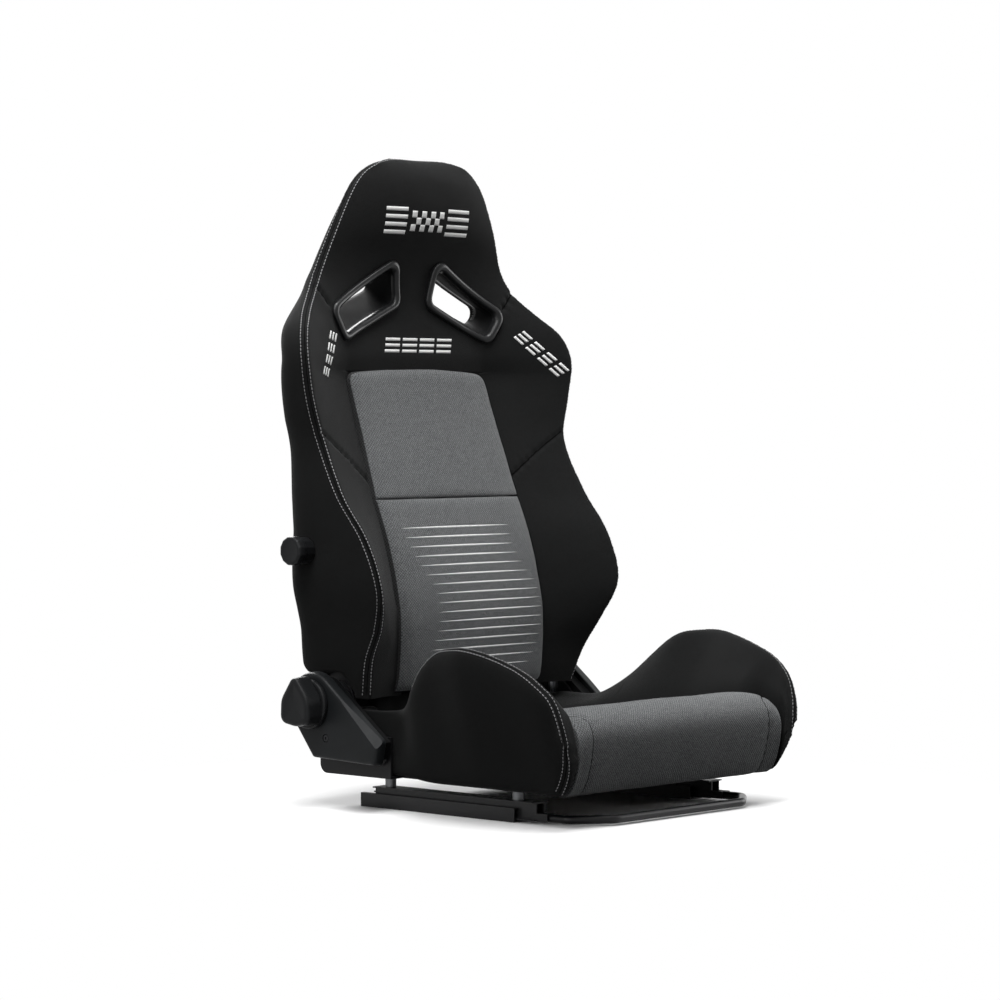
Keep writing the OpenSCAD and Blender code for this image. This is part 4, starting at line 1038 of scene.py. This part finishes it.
def clamped(tree, value):
    """A value held between 0 and 1."""
    node = tree.nodes.new("ShaderNodeClamp")
    tree.links.new(value, node.inputs[0])
    return node.outputs[0]


def use_group(tree, group, **values):
    """A node group placed in a tree, with its own values."""
    node = tree.nodes.new("ShaderNodeGroup")
    node.node_tree = group
    for key, value in values.items():
        node.inputs[key].default_value = value
    return node


FACING = 0.72  # how squarely a face has to look along an axis to be drawn as seen from there


def cloth_axes_group():
    """Coordinates along the cloth, picked by which way it faces, in millimetres."""
    tree, _, out = new_group("cloth_axes", [], [("U", "NodeSocketFloat"), ("V", "NodeSocketFloat")])
    coord = tree.nodes.new("ShaderNodeTexCoord")
    place = tree.nodes.new("ShaderNodeSeparateXYZ")
    face = tree.nodes.new("ShaderNodeSeparateXYZ")
    tree.links.new(coord.outputs["Object"], place.inputs[0])
    tree.links.new(coord.outputs["Normal"], face.inputs[0])
    x, y, z = (math_node(tree, "MULTIPLY", s, 1000.0) for s in place.outputs)
    side = math_node(tree, "GREATER_THAN", math_node(tree, "ABSOLUTE", face.outputs[0]), FACING)
    top = math_node(tree, "GREATER_THAN", math_node(tree, "ABSOLUTE", face.outputs[2]), FACING)
    u = math_node(tree, "ADD", math_node(tree, "MULTIPLY", y, side),
                  math_node(tree, "MULTIPLY", x, math_node(tree, "SUBTRACT", 1.0, side)))
    v = math_node(tree, "ADD", math_node(tree, "MULTIPLY", y, top),
                  math_node(tree, "MULTIPLY", z, math_node(tree, "SUBTRACT", 1.0, top)))
    tree.links.new(u, out.inputs["U"])
    tree.links.new(v, out.inputs["V"])
    return tree


def knit_group(axes):
    """Small staggered loops of a knitted cloth: height, and a mask of the holes between."""
    sockets = [("Height", "NodeSocketFloat"), ("Holes", "NodeSocketFloat")]
    tree, given, out = new_group("knit_weave", [("Pitch", "NodeSocketFloat", 2.4)], sockets)
    along = use_group(tree, axes)
    u = math_node(tree, "DIVIDE", along.outputs["U"], given.outputs["Pitch"])
    v = math_node(tree, "DIVIDE", along.outputs["V"], given.outputs["Pitch"])
    a = math_node(tree, "SINE", math_node(tree, "MULTIPLY", math_node(tree, "ADD", u, v), math.pi))
    b = math_node(tree, "SINE", math_node(tree, "MULTIPLY", math_node(tree, "SUBTRACT", u, v), math.pi))
    wave = math_node(tree, "MULTIPLY", math_node(tree, "ABSOLUTE", a), math_node(tree, "ABSOLUTE", b))
    tree.links.new(math_node(tree, "POWER", wave, 0.6), out.inputs["Height"])
    solid = math_node(tree, "SMOOTH_MIN", math_node(tree, "MULTIPLY", wave, 3.2), 1.0, 0.2)
    tree.links.new(math_node(tree, "SUBTRACT", 1.0, solid), out.inputs["Holes"])
    return tree


def fleck_group():
    """Light and dark threads of a heathered cloth, from 0 to 1."""
    sockets = [("Flecks", "NodeSocketFloat")]
    tree, given, out = new_group("heather_flecks", [("Contrast", "NodeSocketFloat", 1.0)], sockets)
    coord = tree.nodes.new("ShaderNodeTexCoord")
    stretch = tree.nodes.new("ShaderNodeMapping")
    stretch.inputs["Scale"].default_value = (0.55, 1.0, 1.0)
    tree.links.new(coord.outputs["Object"], stretch.inputs["Vector"])
    fine = noise(tree, stretch.outputs[0], 900, 2.0, 0.7)
    broad = noise(tree, stretch.outputs[0], 210, 2.0, 0.6)
    share = 0.86  # of the fine noise
    mix = math_node(tree, "ADD", math_node(tree, "MULTIPLY", fine, share),
                    math_node(tree, "MULTIPLY", broad, 1 - share))
    sharp = math_node(tree, "MULTIPLY", math_node(tree, "SUBTRACT", mix, 0.5), 3.4)
    level = math_node(tree, "ADD", math_node(tree, "MULTIPLY", sharp, given.outputs["Contrast"]), 0.5)
    tree.links.new(clamped(tree, level), out.inputs["Flecks"])
    return tree


def grain_group():
    """Pebbled grain of moulded plastic: height, and worn, slightly glossier places."""
    sockets = [("Height", "NodeSocketFloat"), ("Wear", "NodeSocketFloat")]
    tree, given, out = new_group("moulded_grain", [("Scale", "NodeSocketFloat", 900.0)], sockets)
    coord = tree.nodes.new("ShaderNodeTexCoord")
    cells = tree.nodes.new("ShaderNodeTexVoronoi")
    cells.feature = "SMOOTH_F1"
    tree.links.new(coord.outputs["Object"], cells.inputs["Vector"])
    tree.links.new(given.outputs["Scale"], cells.inputs["Scale"])
    fine = noise(tree, coord.outputs["Object"], 2200, 2.0)
    broad = noise(tree, coord.outputs["Object"], 28, 4.0, 0.65)
    height = math_node(tree, "ADD", cells.outputs["Distance"], math_node(tree, "MULTIPLY", fine, 0.35))
    tree.links.new(height, out.inputs["Height"])
    wear = math_node(tree, "MULTIPLY", math_node(tree, "SUBTRACT", broad, 0.42), 2.6)
    tree.links.new(clamped(tree, wear), out.inputs["Wear"])
    return tree


AXES = cloth_axes_group()
KNIT = knit_group(AXES)
FLECKS = fleck_group()
GRAIN = grain_group()


def base_material(name, rough, metallic=0.0, specular=0.5, coat=0.0, sheen=0.0, sheen_rough=0.5):
    mat = bpy.data.materials.new(name)
    mat.use_nodes = True
    tree = mat.node_tree
    shader = tree.nodes["Principled BSDF"]
    shader.inputs["Roughness"].default_value = rough
    shader.inputs["Metallic"].default_value = metallic
    shader.inputs["Specular IOR Level"].default_value = specular
    shader.inputs["Coat Weight"].default_value = coat
    shader.inputs["Coat Roughness"].default_value = 0.1
    shader.inputs["Sheen Weight"].default_value = sheen
    shader.inputs["Sheen Roughness"].default_value = sheen_rough
    return mat, tree, shader


def scaled(color, factor):
    return tuple(c * factor for c in color)


def blend_colors(tree, factor, dark, light):
    """From dark at 0 to light at 1; both are colours or sockets."""
    node = tree.nodes.new("ShaderNodeMix")
    node.data_type = "RGBA"
    for index, value in ((6, dark), (7, light)):
        if isinstance(value, tuple):
            node.inputs[index].default_value = (*value, 1.0)
        else:
            tree.links.new(value, node.inputs[index])
    tree.links.new(factor, node.inputs[0])
    return node.outputs[2]


def bump(tree, shader, height, distance, strength=1.0):
    node = tree.nodes.new("ShaderNodeBump")
    node.inputs["Distance"].default_value = distance
    node.inputs["Strength"].default_value = strength
    tree.links.new(height, node.inputs["Height"])
    tree.links.new(node.outputs[0], shader.inputs["Normal"])


def cloth(name, dark, light, pitch, depth, holes=0.5, flecks=0.6, sheen=0.3, rough=0.9):
    """Knitted cloth of dark and light threads; pitch of the loops in millimetres, depth in metres."""
    mat, tree, shader = base_material(name, rough, specular=0.04, sheen=sheen, sheen_rough=0.45)
    knit = use_group(tree, KNIT, Pitch=pitch)
    threads = use_group(tree, FLECKS, Contrast=flecks)
    color = blend_colors(tree, threads.outputs["Flecks"], dark, light)
    shade = math_node(tree, "MULTIPLY", knit.outputs["Holes"], holes)
    color = blend_colors(tree, shade, color, scaled(dark, 0.25))
    tree.links.new(color, shader.inputs["Base Color"])
    relief = math_node(tree, "MULTIPLY", threads.outputs["Flecks"], 0.35)
    height = math_node(tree, "ADD", knit.outputs["Height"], relief)
    bump(tree, shader, height, depth)
    return mat


def plastic(name, color, rough, scale=900.0, depth=0.12 * MM, worn=0.10, specular=0.11):
    """Moulded plastic or rubber with a pebbled grain; worn is how much glossier its worn places are."""
    mat, tree, shader = base_material(name, rough, specular=specular)
    grain = use_group(tree, GRAIN, Scale=scale)
    tint = blend_colors(tree, grain.outputs["Wear"], color, scaled(color, 1.35))
    tree.links.new(tint, shader.inputs["Base Color"])
    level = math_node(tree, "SUBTRACT", rough, math_node(tree, "MULTIPLY", grain.outputs["Wear"], worn))
    tree.links.new(level, shader.inputs["Roughness"])
    bump(tree, shader, grain.outputs["Height"], depth)
    return mat


def metal(name, color, rough, scratches=0.12, metallic=1.0, coat=0.0):
    """Bare metal, or paint on metal where metallic is 0, drawn along the rails."""
    specular = 0.5 if metallic else 0.16
    mat, tree, shader = base_material(name, rough, metallic, specular, coat)
    coord = tree.nodes.new("ShaderNodeTexCoord")
    drawn = tree.nodes.new("ShaderNodeMapping")
    drawn.inputs["Scale"].default_value = (1.0, 0.08, 1.0)
    tree.links.new(coord.outputs["Object"], drawn.inputs["Vector"])
    lines = noise(tree, drawn.outputs[0], 1400, 3.0, 0.6)
    stains = noise(tree, coord.outputs["Object"], 60, 4.0, 0.6)
    tint = blend_colors(tree, stains, scaled(color, 0.82), color)
    tree.links.new(tint, shader.inputs["Base Color"])
    marks = math_node(tree, "MULTIPLY", lines, scratches)
    level = math_node(tree, "ADD", rough - scratches / 2, marks)
    tree.links.new(level, shader.inputs["Roughness"])
    bump(tree, shader, lines, 0.02 * MM, 0.5)
    return mat


def thread(name, color, sheen=0.4):
    """Twisted yarn: stitches, embroidery and seams."""
    specular = 0.1 * min(1, sheen * 4)
    mat, tree, shader = base_material(name, 0.62, specular=specular, sheen=sheen, sheen_rough=0.35)
    along = use_group(tree, AXES)
    rise = math_node(tree, "MULTIPLY", along.outputs["V"], 0.6)
    slant = math_node(tree, "ADD", along.outputs["U"], rise)
    twist = math_node(tree, "SINE", math_node(tree, "MULTIPLY", slant, 11.0))
    level = math_node(tree, "ADD", 0.5, math_node(tree, "MULTIPLY", twist, 0.5))
    tree.links.new(blend_colors(tree, level, scaled(color, 0.8), color), shader.inputs["Base Color"])
    bump(tree, shader, level, 0.12 * MM, 0.8)
    return mat


BLACK_CLOTH = cloth("black_knit", (0.0075, 0.0077, 0.0077), (0.0155, 0.0159, 0.0160), 1.5, 0.16 * MM,
                    holes=0.35, flecks=0.5, sheen=0.05)
GREY_CLOTH = cloth("grey_heather", (0.060, 0.063, 0.065), (0.225, 0.231, 0.235), 4.6, 0.5 * MM,
                   holes=0.9, flecks=0.9, sheen=0.15)
DARK_MESH = cloth("dark_mesh", (0.020, 0.020, 0.021), (0.060, 0.061, 0.062), 5.2, 0.8 * MM,
                  holes=1.0, flecks=0.3, sheen=0.15)
PANEL = plastic("panel_plastic", (0.017, 0.018, 0.020), 0.52)
COVER = plastic("cover_plastic", (0.0105, 0.0116, 0.0125), 0.42, 1100.0, 0.07 * MM)
KNOB = plastic("knob_plastic", (0.010, 0.0105, 0.0112), 0.42, 1400.0, 0.05 * MM)
BEZEL = plastic("bezel_plastic", (0.0085, 0.0088, 0.0092), 0.30, 500.0, 0.012 * MM,
                worn=0.03, specular=0.2)
# painted shade: a darker, low-gloss copy of the plastic for the hollow walls it is put on
SHADED = plastic("painted_shade_plastic", (0.0060, 0.0062, 0.0064), 0.6, specular=0.03)
SLIDE = plastic("slide_plastic", (0.62, 0.62, 0.58), 0.42, 1200.0, 0.05 * MM)
RUBBER = plastic("mat_rubber", (0.016, 0.016, 0.017), 0.72, 500.0, 0.2 * MM)
WEBBING = cloth("webbing", (0.016, 0.016, 0.018), (0.034, 0.034, 0.037), 2.0, 0.4 * MM, holes=0.4)
RAIL_PAINT = metal("rail_paint", (0.018, 0.018, 0.019), 0.40, 0.14, 0.0, 0.1)
BAR_PAINT = metal("bar_paint", (0.006, 0.006, 0.007), 0.30, 0.12, 0.0, 0.1)
FRAME_PAINT = metal("frame_paint", (0.012, 0.012, 0.013), 0.45, 0.14, 0.0, 0.0)
ZINC = metal("zinc_steel", (0.62, 0.63, 0.64), 0.28, 0.14)
DULL_ZINC = metal("dull_zinc", (0.12, 0.123, 0.127), 0.42, 0.14)
RECLINER = metal("recliner_steel", (0.40, 0.41, 0.43), 0.34, 0.16)
SCREW = metal("dark_screw", (0.028, 0.028, 0.030), 0.40, 0.14)
THREAD_GREY = thread("thread_grey", (0.36, 0.36, 0.37))
PRINT_WHITE = thread("embroidery_white", (0.84, 0.84, 0.83))
SEAM_DARK = thread("seam_dark", (0.003, 0.003, 0.003), 0.0)


def finish_piece(obj, body, mat, slot, *hidden, fill=None):
    """Gives a piece its material and body, and hides the CAD nodes it stands for; the slot argument is
    not used.
    """
    obj.data.materials.clear()
    obj.data.materials.append(mat)
    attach(obj, body)
    if hidden:
        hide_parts(*hidden)


def add_material(obj, mat, covers):
    """A second material, on the faces of which covers(index, face) is true."""
    obj.data.materials.append(mat)
    for i, face in enumerate(obj.data.polygons):
        face.material_index = int(covers(i, face))


# ---- the seat, piece by piece ------------------------------------------------------------------
CHEST_SEAM = [(259, 541), (205, 507), (153, 469)]
SHOULDER_SEAM = [(214, 757), (201, 743), (186, 727)]


def build_back():
    """The back's cover with its seams, stitches and belt slots; returns its surface."""
    cover = make_back_cover()
    plain = surface_of(cover)
    seam = lay_on(ridge_path(6.5, 1.5), plain)
    chest, shoulder = ([lay_on(front_path(knots, side), plain) for side, _ in SIDES]
                       for knots in (CHEST_SEAM, SHOULDER_SEAM))
    swell(cover, 1.3 * MM)
    press_seams(cover, [seam], 1.6 * MM, 4.2 * MM, 0.35 * MM)
    press_seams(cover, chest + shoulder, 2.8 * MM, 3.8 * MM, 0.7 * MM)
    cut_belt_slots(cover)
    finish_piece(cover, "backrest", BLACK_CLOTH, "black_cloth",
                 "back_wing_left", "back_wing_right", "shoulder_yoke", "head_pad", fill=0.8)
    skin = surface_of(cover)
    seams = seam_line("back_seam", [seam] + chest + shoulder, skin)
    finish_piece(seams, "backrest", SEAM_DARK, "black_cloth")
    rows = [lay_on(ridge_path(0.2, 0), skin), lay_on(ridge_path(13, 2.5), skin)]
    finish_piece(stitch_run("back_edge_stitches", rows, skin), "backrest", THREAD_GREY, "grey_cloth")
    return skin


MESH_DEPTH = 0.012  # how far behind the pads' front their mesh sides begin, in metres


def build_pads():
    """Both middle pads, with dark mesh sides, and the stripes printed on the lower one."""
    for name, z0, z1, round_top, node in (
            ("insert_lower", FOOT_Z + 6, PAD_SEAM_Z - 0.15, False, "back_pad_lower"),
            ("insert_upper", PAD_SEAM_Z + 0.15, PAD_TOP_Z, True, "back_pad_upper")):
        pad = make_back_pad(name, z0, z1, round_top)
        swell(pad, 0.8 * MM, 14)
        finish_piece(pad, "backrest", GREY_CLOTH, "grey_cloth", node, fill=0.85)
        add_material(pad, DARK_MESH, lambda _, face: face.normal.y > -0.45 or
                     face.center.y > centre_y(face.center.z / MM) * MM + MESH_DEPTH)
        if name == "insert_lower":
            skin = surface_of(pad)
            stripes = make_patches("insert_stripes", stripe_outlines(), skin, 0.25 * MM, 6)
            finish_piece(stripes, "backrest", PRINT_WHITE, "grey_cloth")


def build_patches(skin):
    """Embroidered stripes and chequers on the head, the chest and the shoulders."""
    head = stripe_blocks((-88, 836), (-47, 836), 40, 1, 4, 0.0)
    head += stripe_blocks((39, 836), (91, 836), 40, 1, 4, 0.0)
    head += chequered_band(-38, 30, 841, 871, 7, 3)
    chest = stripe_blocks((-67, 660), (76, 660), 22, 4, 3)
    left = stripe_blocks((200, 686), (263, 625), 20, 4, 3)
    right = stripe_blocks((-231, 626), (-196, 690), -20, 4, 3, -0.3)
    patches = {"head_patch": head, "chest_patch": chest, "shoulder_patch_left": left,
               "shoulder_patch_right": right}
    for name, outlines in patches.items():
        finish_piece(make_patches(name, outlines, skin), "backrest", PRINT_WHITE, "grey_cloth")


# seams of the cushion's front, and the lower end of the bolsters' crest seam
CUSHION_SEAM = [(195, y, z) for y, z in CUSHION_SIDE[:7]]
CUSHION_SEAM += [(196, -272, 151), (200, -266, 155), (207, -260, 158), (216, -254, 159), (226, -249, 158)]
HORN_SEAM_FOOT = [(244, -256, 47), (246, -266, 58), (248.5, -275, 78), (250.5, -281, 99)]
HORN_SEAM_YS = [-283, -280, -275, -269, -262, -254] + list(range(-245, 8, 7))
STITCH_OFFSET = 5.2 * MM


def build_cushion():
    """The middle cushion with a curved seam at each front corner."""
    cushion = make_cushion()
    plain = surface_of(cushion)
    seams = [lay_on(mirrored(CUSHION_SEAM, side), plain) for side, _ in SIDES]
    swell(cushion, 1.2 * MM)
    press_seams(cushion, seams, 1.5 * MM, 3.0 * MM, 0.8 * MM)
    finish_piece(cushion, "carriage", GREY_CLOTH, "grey_cloth", "seat_cushion", fill=0.85)
    skin = surface_of(cushion)
    finish_piece(seam_line("cushion_seams", seams, skin), "carriage", SEAM_DARK, "black_cloth")


def build_horns():
    """Both bolsters, with a double-stitched seam along the crest."""
    knots = [(smooth(HORN_LINE, y, 1) + 1, y, smooth(HORN_LINE, y, 2) + 2) for y in HORN_SEAM_YS]
    for side, word in SIDES:
        horn = make_horn(f"horn_{word}", side)
        plain = surface_of(horn)
        crest = even_out(lay_on(mirrored(HORN_SEAM_FOOT + knots, side), plain), plain)
        swell(horn, 1.2 * MM)
        press_seams(horn, [crest], 1.4 * MM, 4 * MM, 0.5 * MM)
        finish_piece(horn, "carriage", BLACK_CLOTH, "black_cloth", f"seat_bolster_{word}", fill=0.85)
        skin = surface_of(horn)
        seam = seam_line(f"horn_seam_{word}", [crest], skin)
        finish_piece(seam, "carriage", SEAM_DARK, "black_cloth")
        rows = [beside(crest, skin, offset) for offset in (-STITCH_OFFSET, STITCH_OFFSET)]
        stitches = stitch_run(f"horn_stitches_{word}", rows, skin)
        finish_piece(stitches, "carriage", THREAD_GREY, "grey_cloth")


def build_hard_parts():
    """Hinge covers, bezels, lever, knob, rear panel and the flap below the pads."""
    for side, word in SIDES:
        shell = make_hinge_cover(f"hinge_cover_shell_{word}", side)
        finish_piece(shell, "carriage", COVER, "cover_plastic", f"hinge_cover_{word}")
        # the cover's set-in foot gets painted shade: the darker plastic stands for the shadow behind the
        # thin shell
        add_material(shell, SHADED, lambda _, face: abs(face.center.x) < COVER_FOOT_X * MM)
        bezel = make_bezel(f"slot_bezel_{word}", side)
        finish_piece(bezel, "backrest", BEZEL, "bezel_plastic", f"belt_bezel_{word}")
        # the duct's inner walls get painted shade: the darker plastic stands for the shade inside the
        # slot
        add_material(bezel, SHADED, lambda i, _: DUCT_ROWS[0] <= i // BEZEL_POINTS < DUCT_ROWS[1])
    hub, grip = make_lever()
    finish_piece(hub, "lever", KNOB, "knob_plastic")
    finish_piece(grip, "lever", KNOB, "knob_plastic", "recline_lever")
    knob, washer = make_knob()
    finish_piece(knob, "lumbar_cam", KNOB, "knob_plastic", "lumbar_knob")
    finish_piece(washer, "backrest", KNOB, "knob_plastic")
    finish_piece(make_back_panel(), "backrest", PANEL, "panel_plastic", "back_panel")
    finish_piece(make_skirt(), "backrest", BLACK_CLOTH, "black_cloth", "back_skirt")
    for side, word in SIDES:
        flap = make_skirt_end(f"skirt_end_{word}", side)
        finish_piece(flap, "backrest", BLACK_CLOTH, "black_cloth")


NODE_MATERIALS = {
    "lower_rail_left": RAIL_PAINT, "lower_rail_right": RAIL_PAINT, "upper_rail_left": RAIL_PAINT,
    "upper_rail_right": RAIL_PAINT, "guide_shoes": SLIDE, "bar_pivot_pins": ZINC,
    "release_bar": BAR_PAINT, "latch_plates": ZINC, "seat_spacers": DULL_ZINC, "seat_bolts": ZINC,
    "seat_pan": FRAME_PAINT, "seat_mat": RUBBER, "seat_rear_trim": PANEL,
    "hinge_plate_left": FRAME_PAINT, "hinge_plate_right": FRAME_PAINT, "hinge_bolts": ZINC,
    "recliner_fixed_left": RECLINER, "recliner_fixed_right": RECLINER, "cover_screws": SCREW,
    "cross_shaft": ZINC, "back_plate_left": FRAME_PAINT, "back_plate_right": FRAME_PAINT,
    "recliner_turning_left": RECLINER, "recliner_turning_right": RECLINER, "back_frame": FRAME_PAINT,
    "head_post": FRAME_PAINT, "back_straps": WEBBING, "lumbar_bracket": FRAME_PAINT,
    "lumbar_shaft": ZINC, "lumbar_plate": FRAME_PAINT,
}


def dress_nodes():
    """Better materials and broken edges for the solids that keep their own mesh."""
    for name, mat in NODE_MATERIALS.items():
        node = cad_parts[name]
        if not node.material_slots:
            node.data.materials.append(mat)
        for place in node.material_slots:
            place.material = mat
        if name not in ("back_straps", "seat_mat"):
            soft_edges(node, 0.45 * MM, 40)


# ---- studio ------------------------------------------------------------------------------------
def shown_rays(tree):
    """1 for rays that show the background: from the camera, mirrored or let through."""
    path = tree.nodes.new("ShaderNodeLightPath")
    bent = math_node(tree, "MAXIMUM", path.outputs["Is Glossy Ray"], path.outputs["Is Transmission Ray"])
    return math_node(tree, "MAXIMUM", path.outputs["Is Camera Ray"], bent)


FADE_FROM, FADE_TO = 0.20, 0.76  # from the seat outwards the floor turns into plain background


def background(tree, color, strength):
    node = tree.nodes.new("ShaderNodeBackground")
    node.inputs["Color"].default_value = (*color, 1)
    node.inputs["Strength"].default_value = strength
    return node.outputs[0]


def build_floor():
    """A white floor that keeps the seat's shadow and throws little light back."""
    bpy.ops.mesh.primitive_plane_add(size=60, location=(0, 0, 0))
    floor = bpy.context.object
    floor.name = "studio_floor"
    mat, tree, shader = base_material("studio_floor", 0.9, specular=0.0)
    place = tree.nodes.new("ShaderNodeNewGeometry")
    reach = tree.nodes.new("ShaderNodeVectorMath")
    reach.operation = "LENGTH"
    fade = tree.nodes.new("ShaderNodeMapRange")
    fade.interpolation_type = "SMOOTHSTEP"
    fade.inputs["From Min"].default_value = FADE_FROM
    fade.inputs["From Max"].default_value = FADE_TO
    glow = tree.nodes.new("ShaderNodeEmission")
    mix = tree.nodes.new("ShaderNodeMixShader")
    shown = shown_rays(tree)
    seen = blend_colors(tree, shown, (0.10, 0.10, 0.10), (0.93, 0.93, 0.93))
    tree.links.new(seen, shader.inputs["Base Color"])
    tree.links.new(place.outputs["Position"], reach.inputs[0])
    tree.links.new(reach.outputs["Value"], fade.inputs["Value"])
    tree.links.new(math_node(tree, "MULTIPLY", fade.outputs["Result"], shown), mix.inputs[0])
    tree.links.new(shader.outputs[0], mix.inputs[1])
    tree.links.new(glow.outputs[0], mix.inputs[2])
    tree.links.new(mix.outputs[0], tree.nodes["Material Output"].inputs["Surface"])
    floor.data.materials.append(mat)


def build_world():
    """Soft light on the seat, plain white where the background shows."""
    world = bpy.data.worlds.new("studio")
    bpy.context.scene.world = world
    world.use_nodes = True
    tree = world.node_tree
    tree.nodes.clear()
    out = tree.nodes.new("ShaderNodeOutputWorld")
    mix = tree.nodes.new("ShaderNodeMixShader")
    tree.links.new(shown_rays(tree), mix.inputs[0])
    tree.links.new(background(tree, (0.96, 0.98, 1.0), 0.03), mix.inputs[1])
    tree.links.new(background(tree, (1, 1, 1), 1.0), mix.inputs[2])
    tree.links.new(mix.outputs[0], out.inputs["Surface"])


LAMP_SIDE = 1.6
# name, place, the point it faces, power in watts
LAMPS = [
    ("overhead", (0, -0.2, 3.3), (0, 0, 0.45), 100),
    ("upper_left", (-1.5, -0.6, 2.8), (0, 0, 0.45), 56),
    ("left", (-3, -0.6, 1.2), (0, 0, 0.45), 21),
    ("right", (2.8, -1.2, 1.0), (0, 0, 0.45), 42),
    ("rear", (1.2, 2.6, 2.2), (0, 0.1, 0.5), 110),
]


def build_lamps():
    for name, at, towards, power in LAMPS:
        lamp = bpy.data.lights.new(name, "AREA")
        lamp.shape = "RECTANGLE"
        lamp.size = lamp.size_y = LAMP_SIDE
        lamp.energy = power
        obj = bpy.data.objects.new(name, lamp)
        obj.location = at
        obj.rotation_euler = (Vector(towards) - Vector(at)).to_track_quat("-Z", "Y").to_euler()
        bpy.context.scene.collection.objects.link(obj)


CAMERA_AT = (-3.730, -3.342, 0.576)
CAMERA_DOWN, CAMERA_TURN = 1.53, -47.56  # degrees below level, and about the vertical


def build_camera():
    cam = bpy.data.cameras.new("camera")
    cam.sensor_width = 36
    cam.lens = 123.36
    cam.clip_start, cam.clip_end = 0.05, 100
    obj = bpy.data.objects.new("camera", cam)
    obj.location = CAMERA_AT
    obj.rotation_euler = (math.radians(90 - CAMERA_DOWN), 0, math.radians(CAMERA_TURN))
    bpy.context.scene.collection.objects.link(obj)
    bpy.context.scene.camera = obj
    bpy.context.scene.view_settings.view_transform = "Standard"


back_skin = build_back()
build_pads()
build_patches(back_skin)
build_cushion()
build_horns()
build_hard_parts()
dress_nodes()
build_floor()
build_world()
build_lamps()
build_camera()
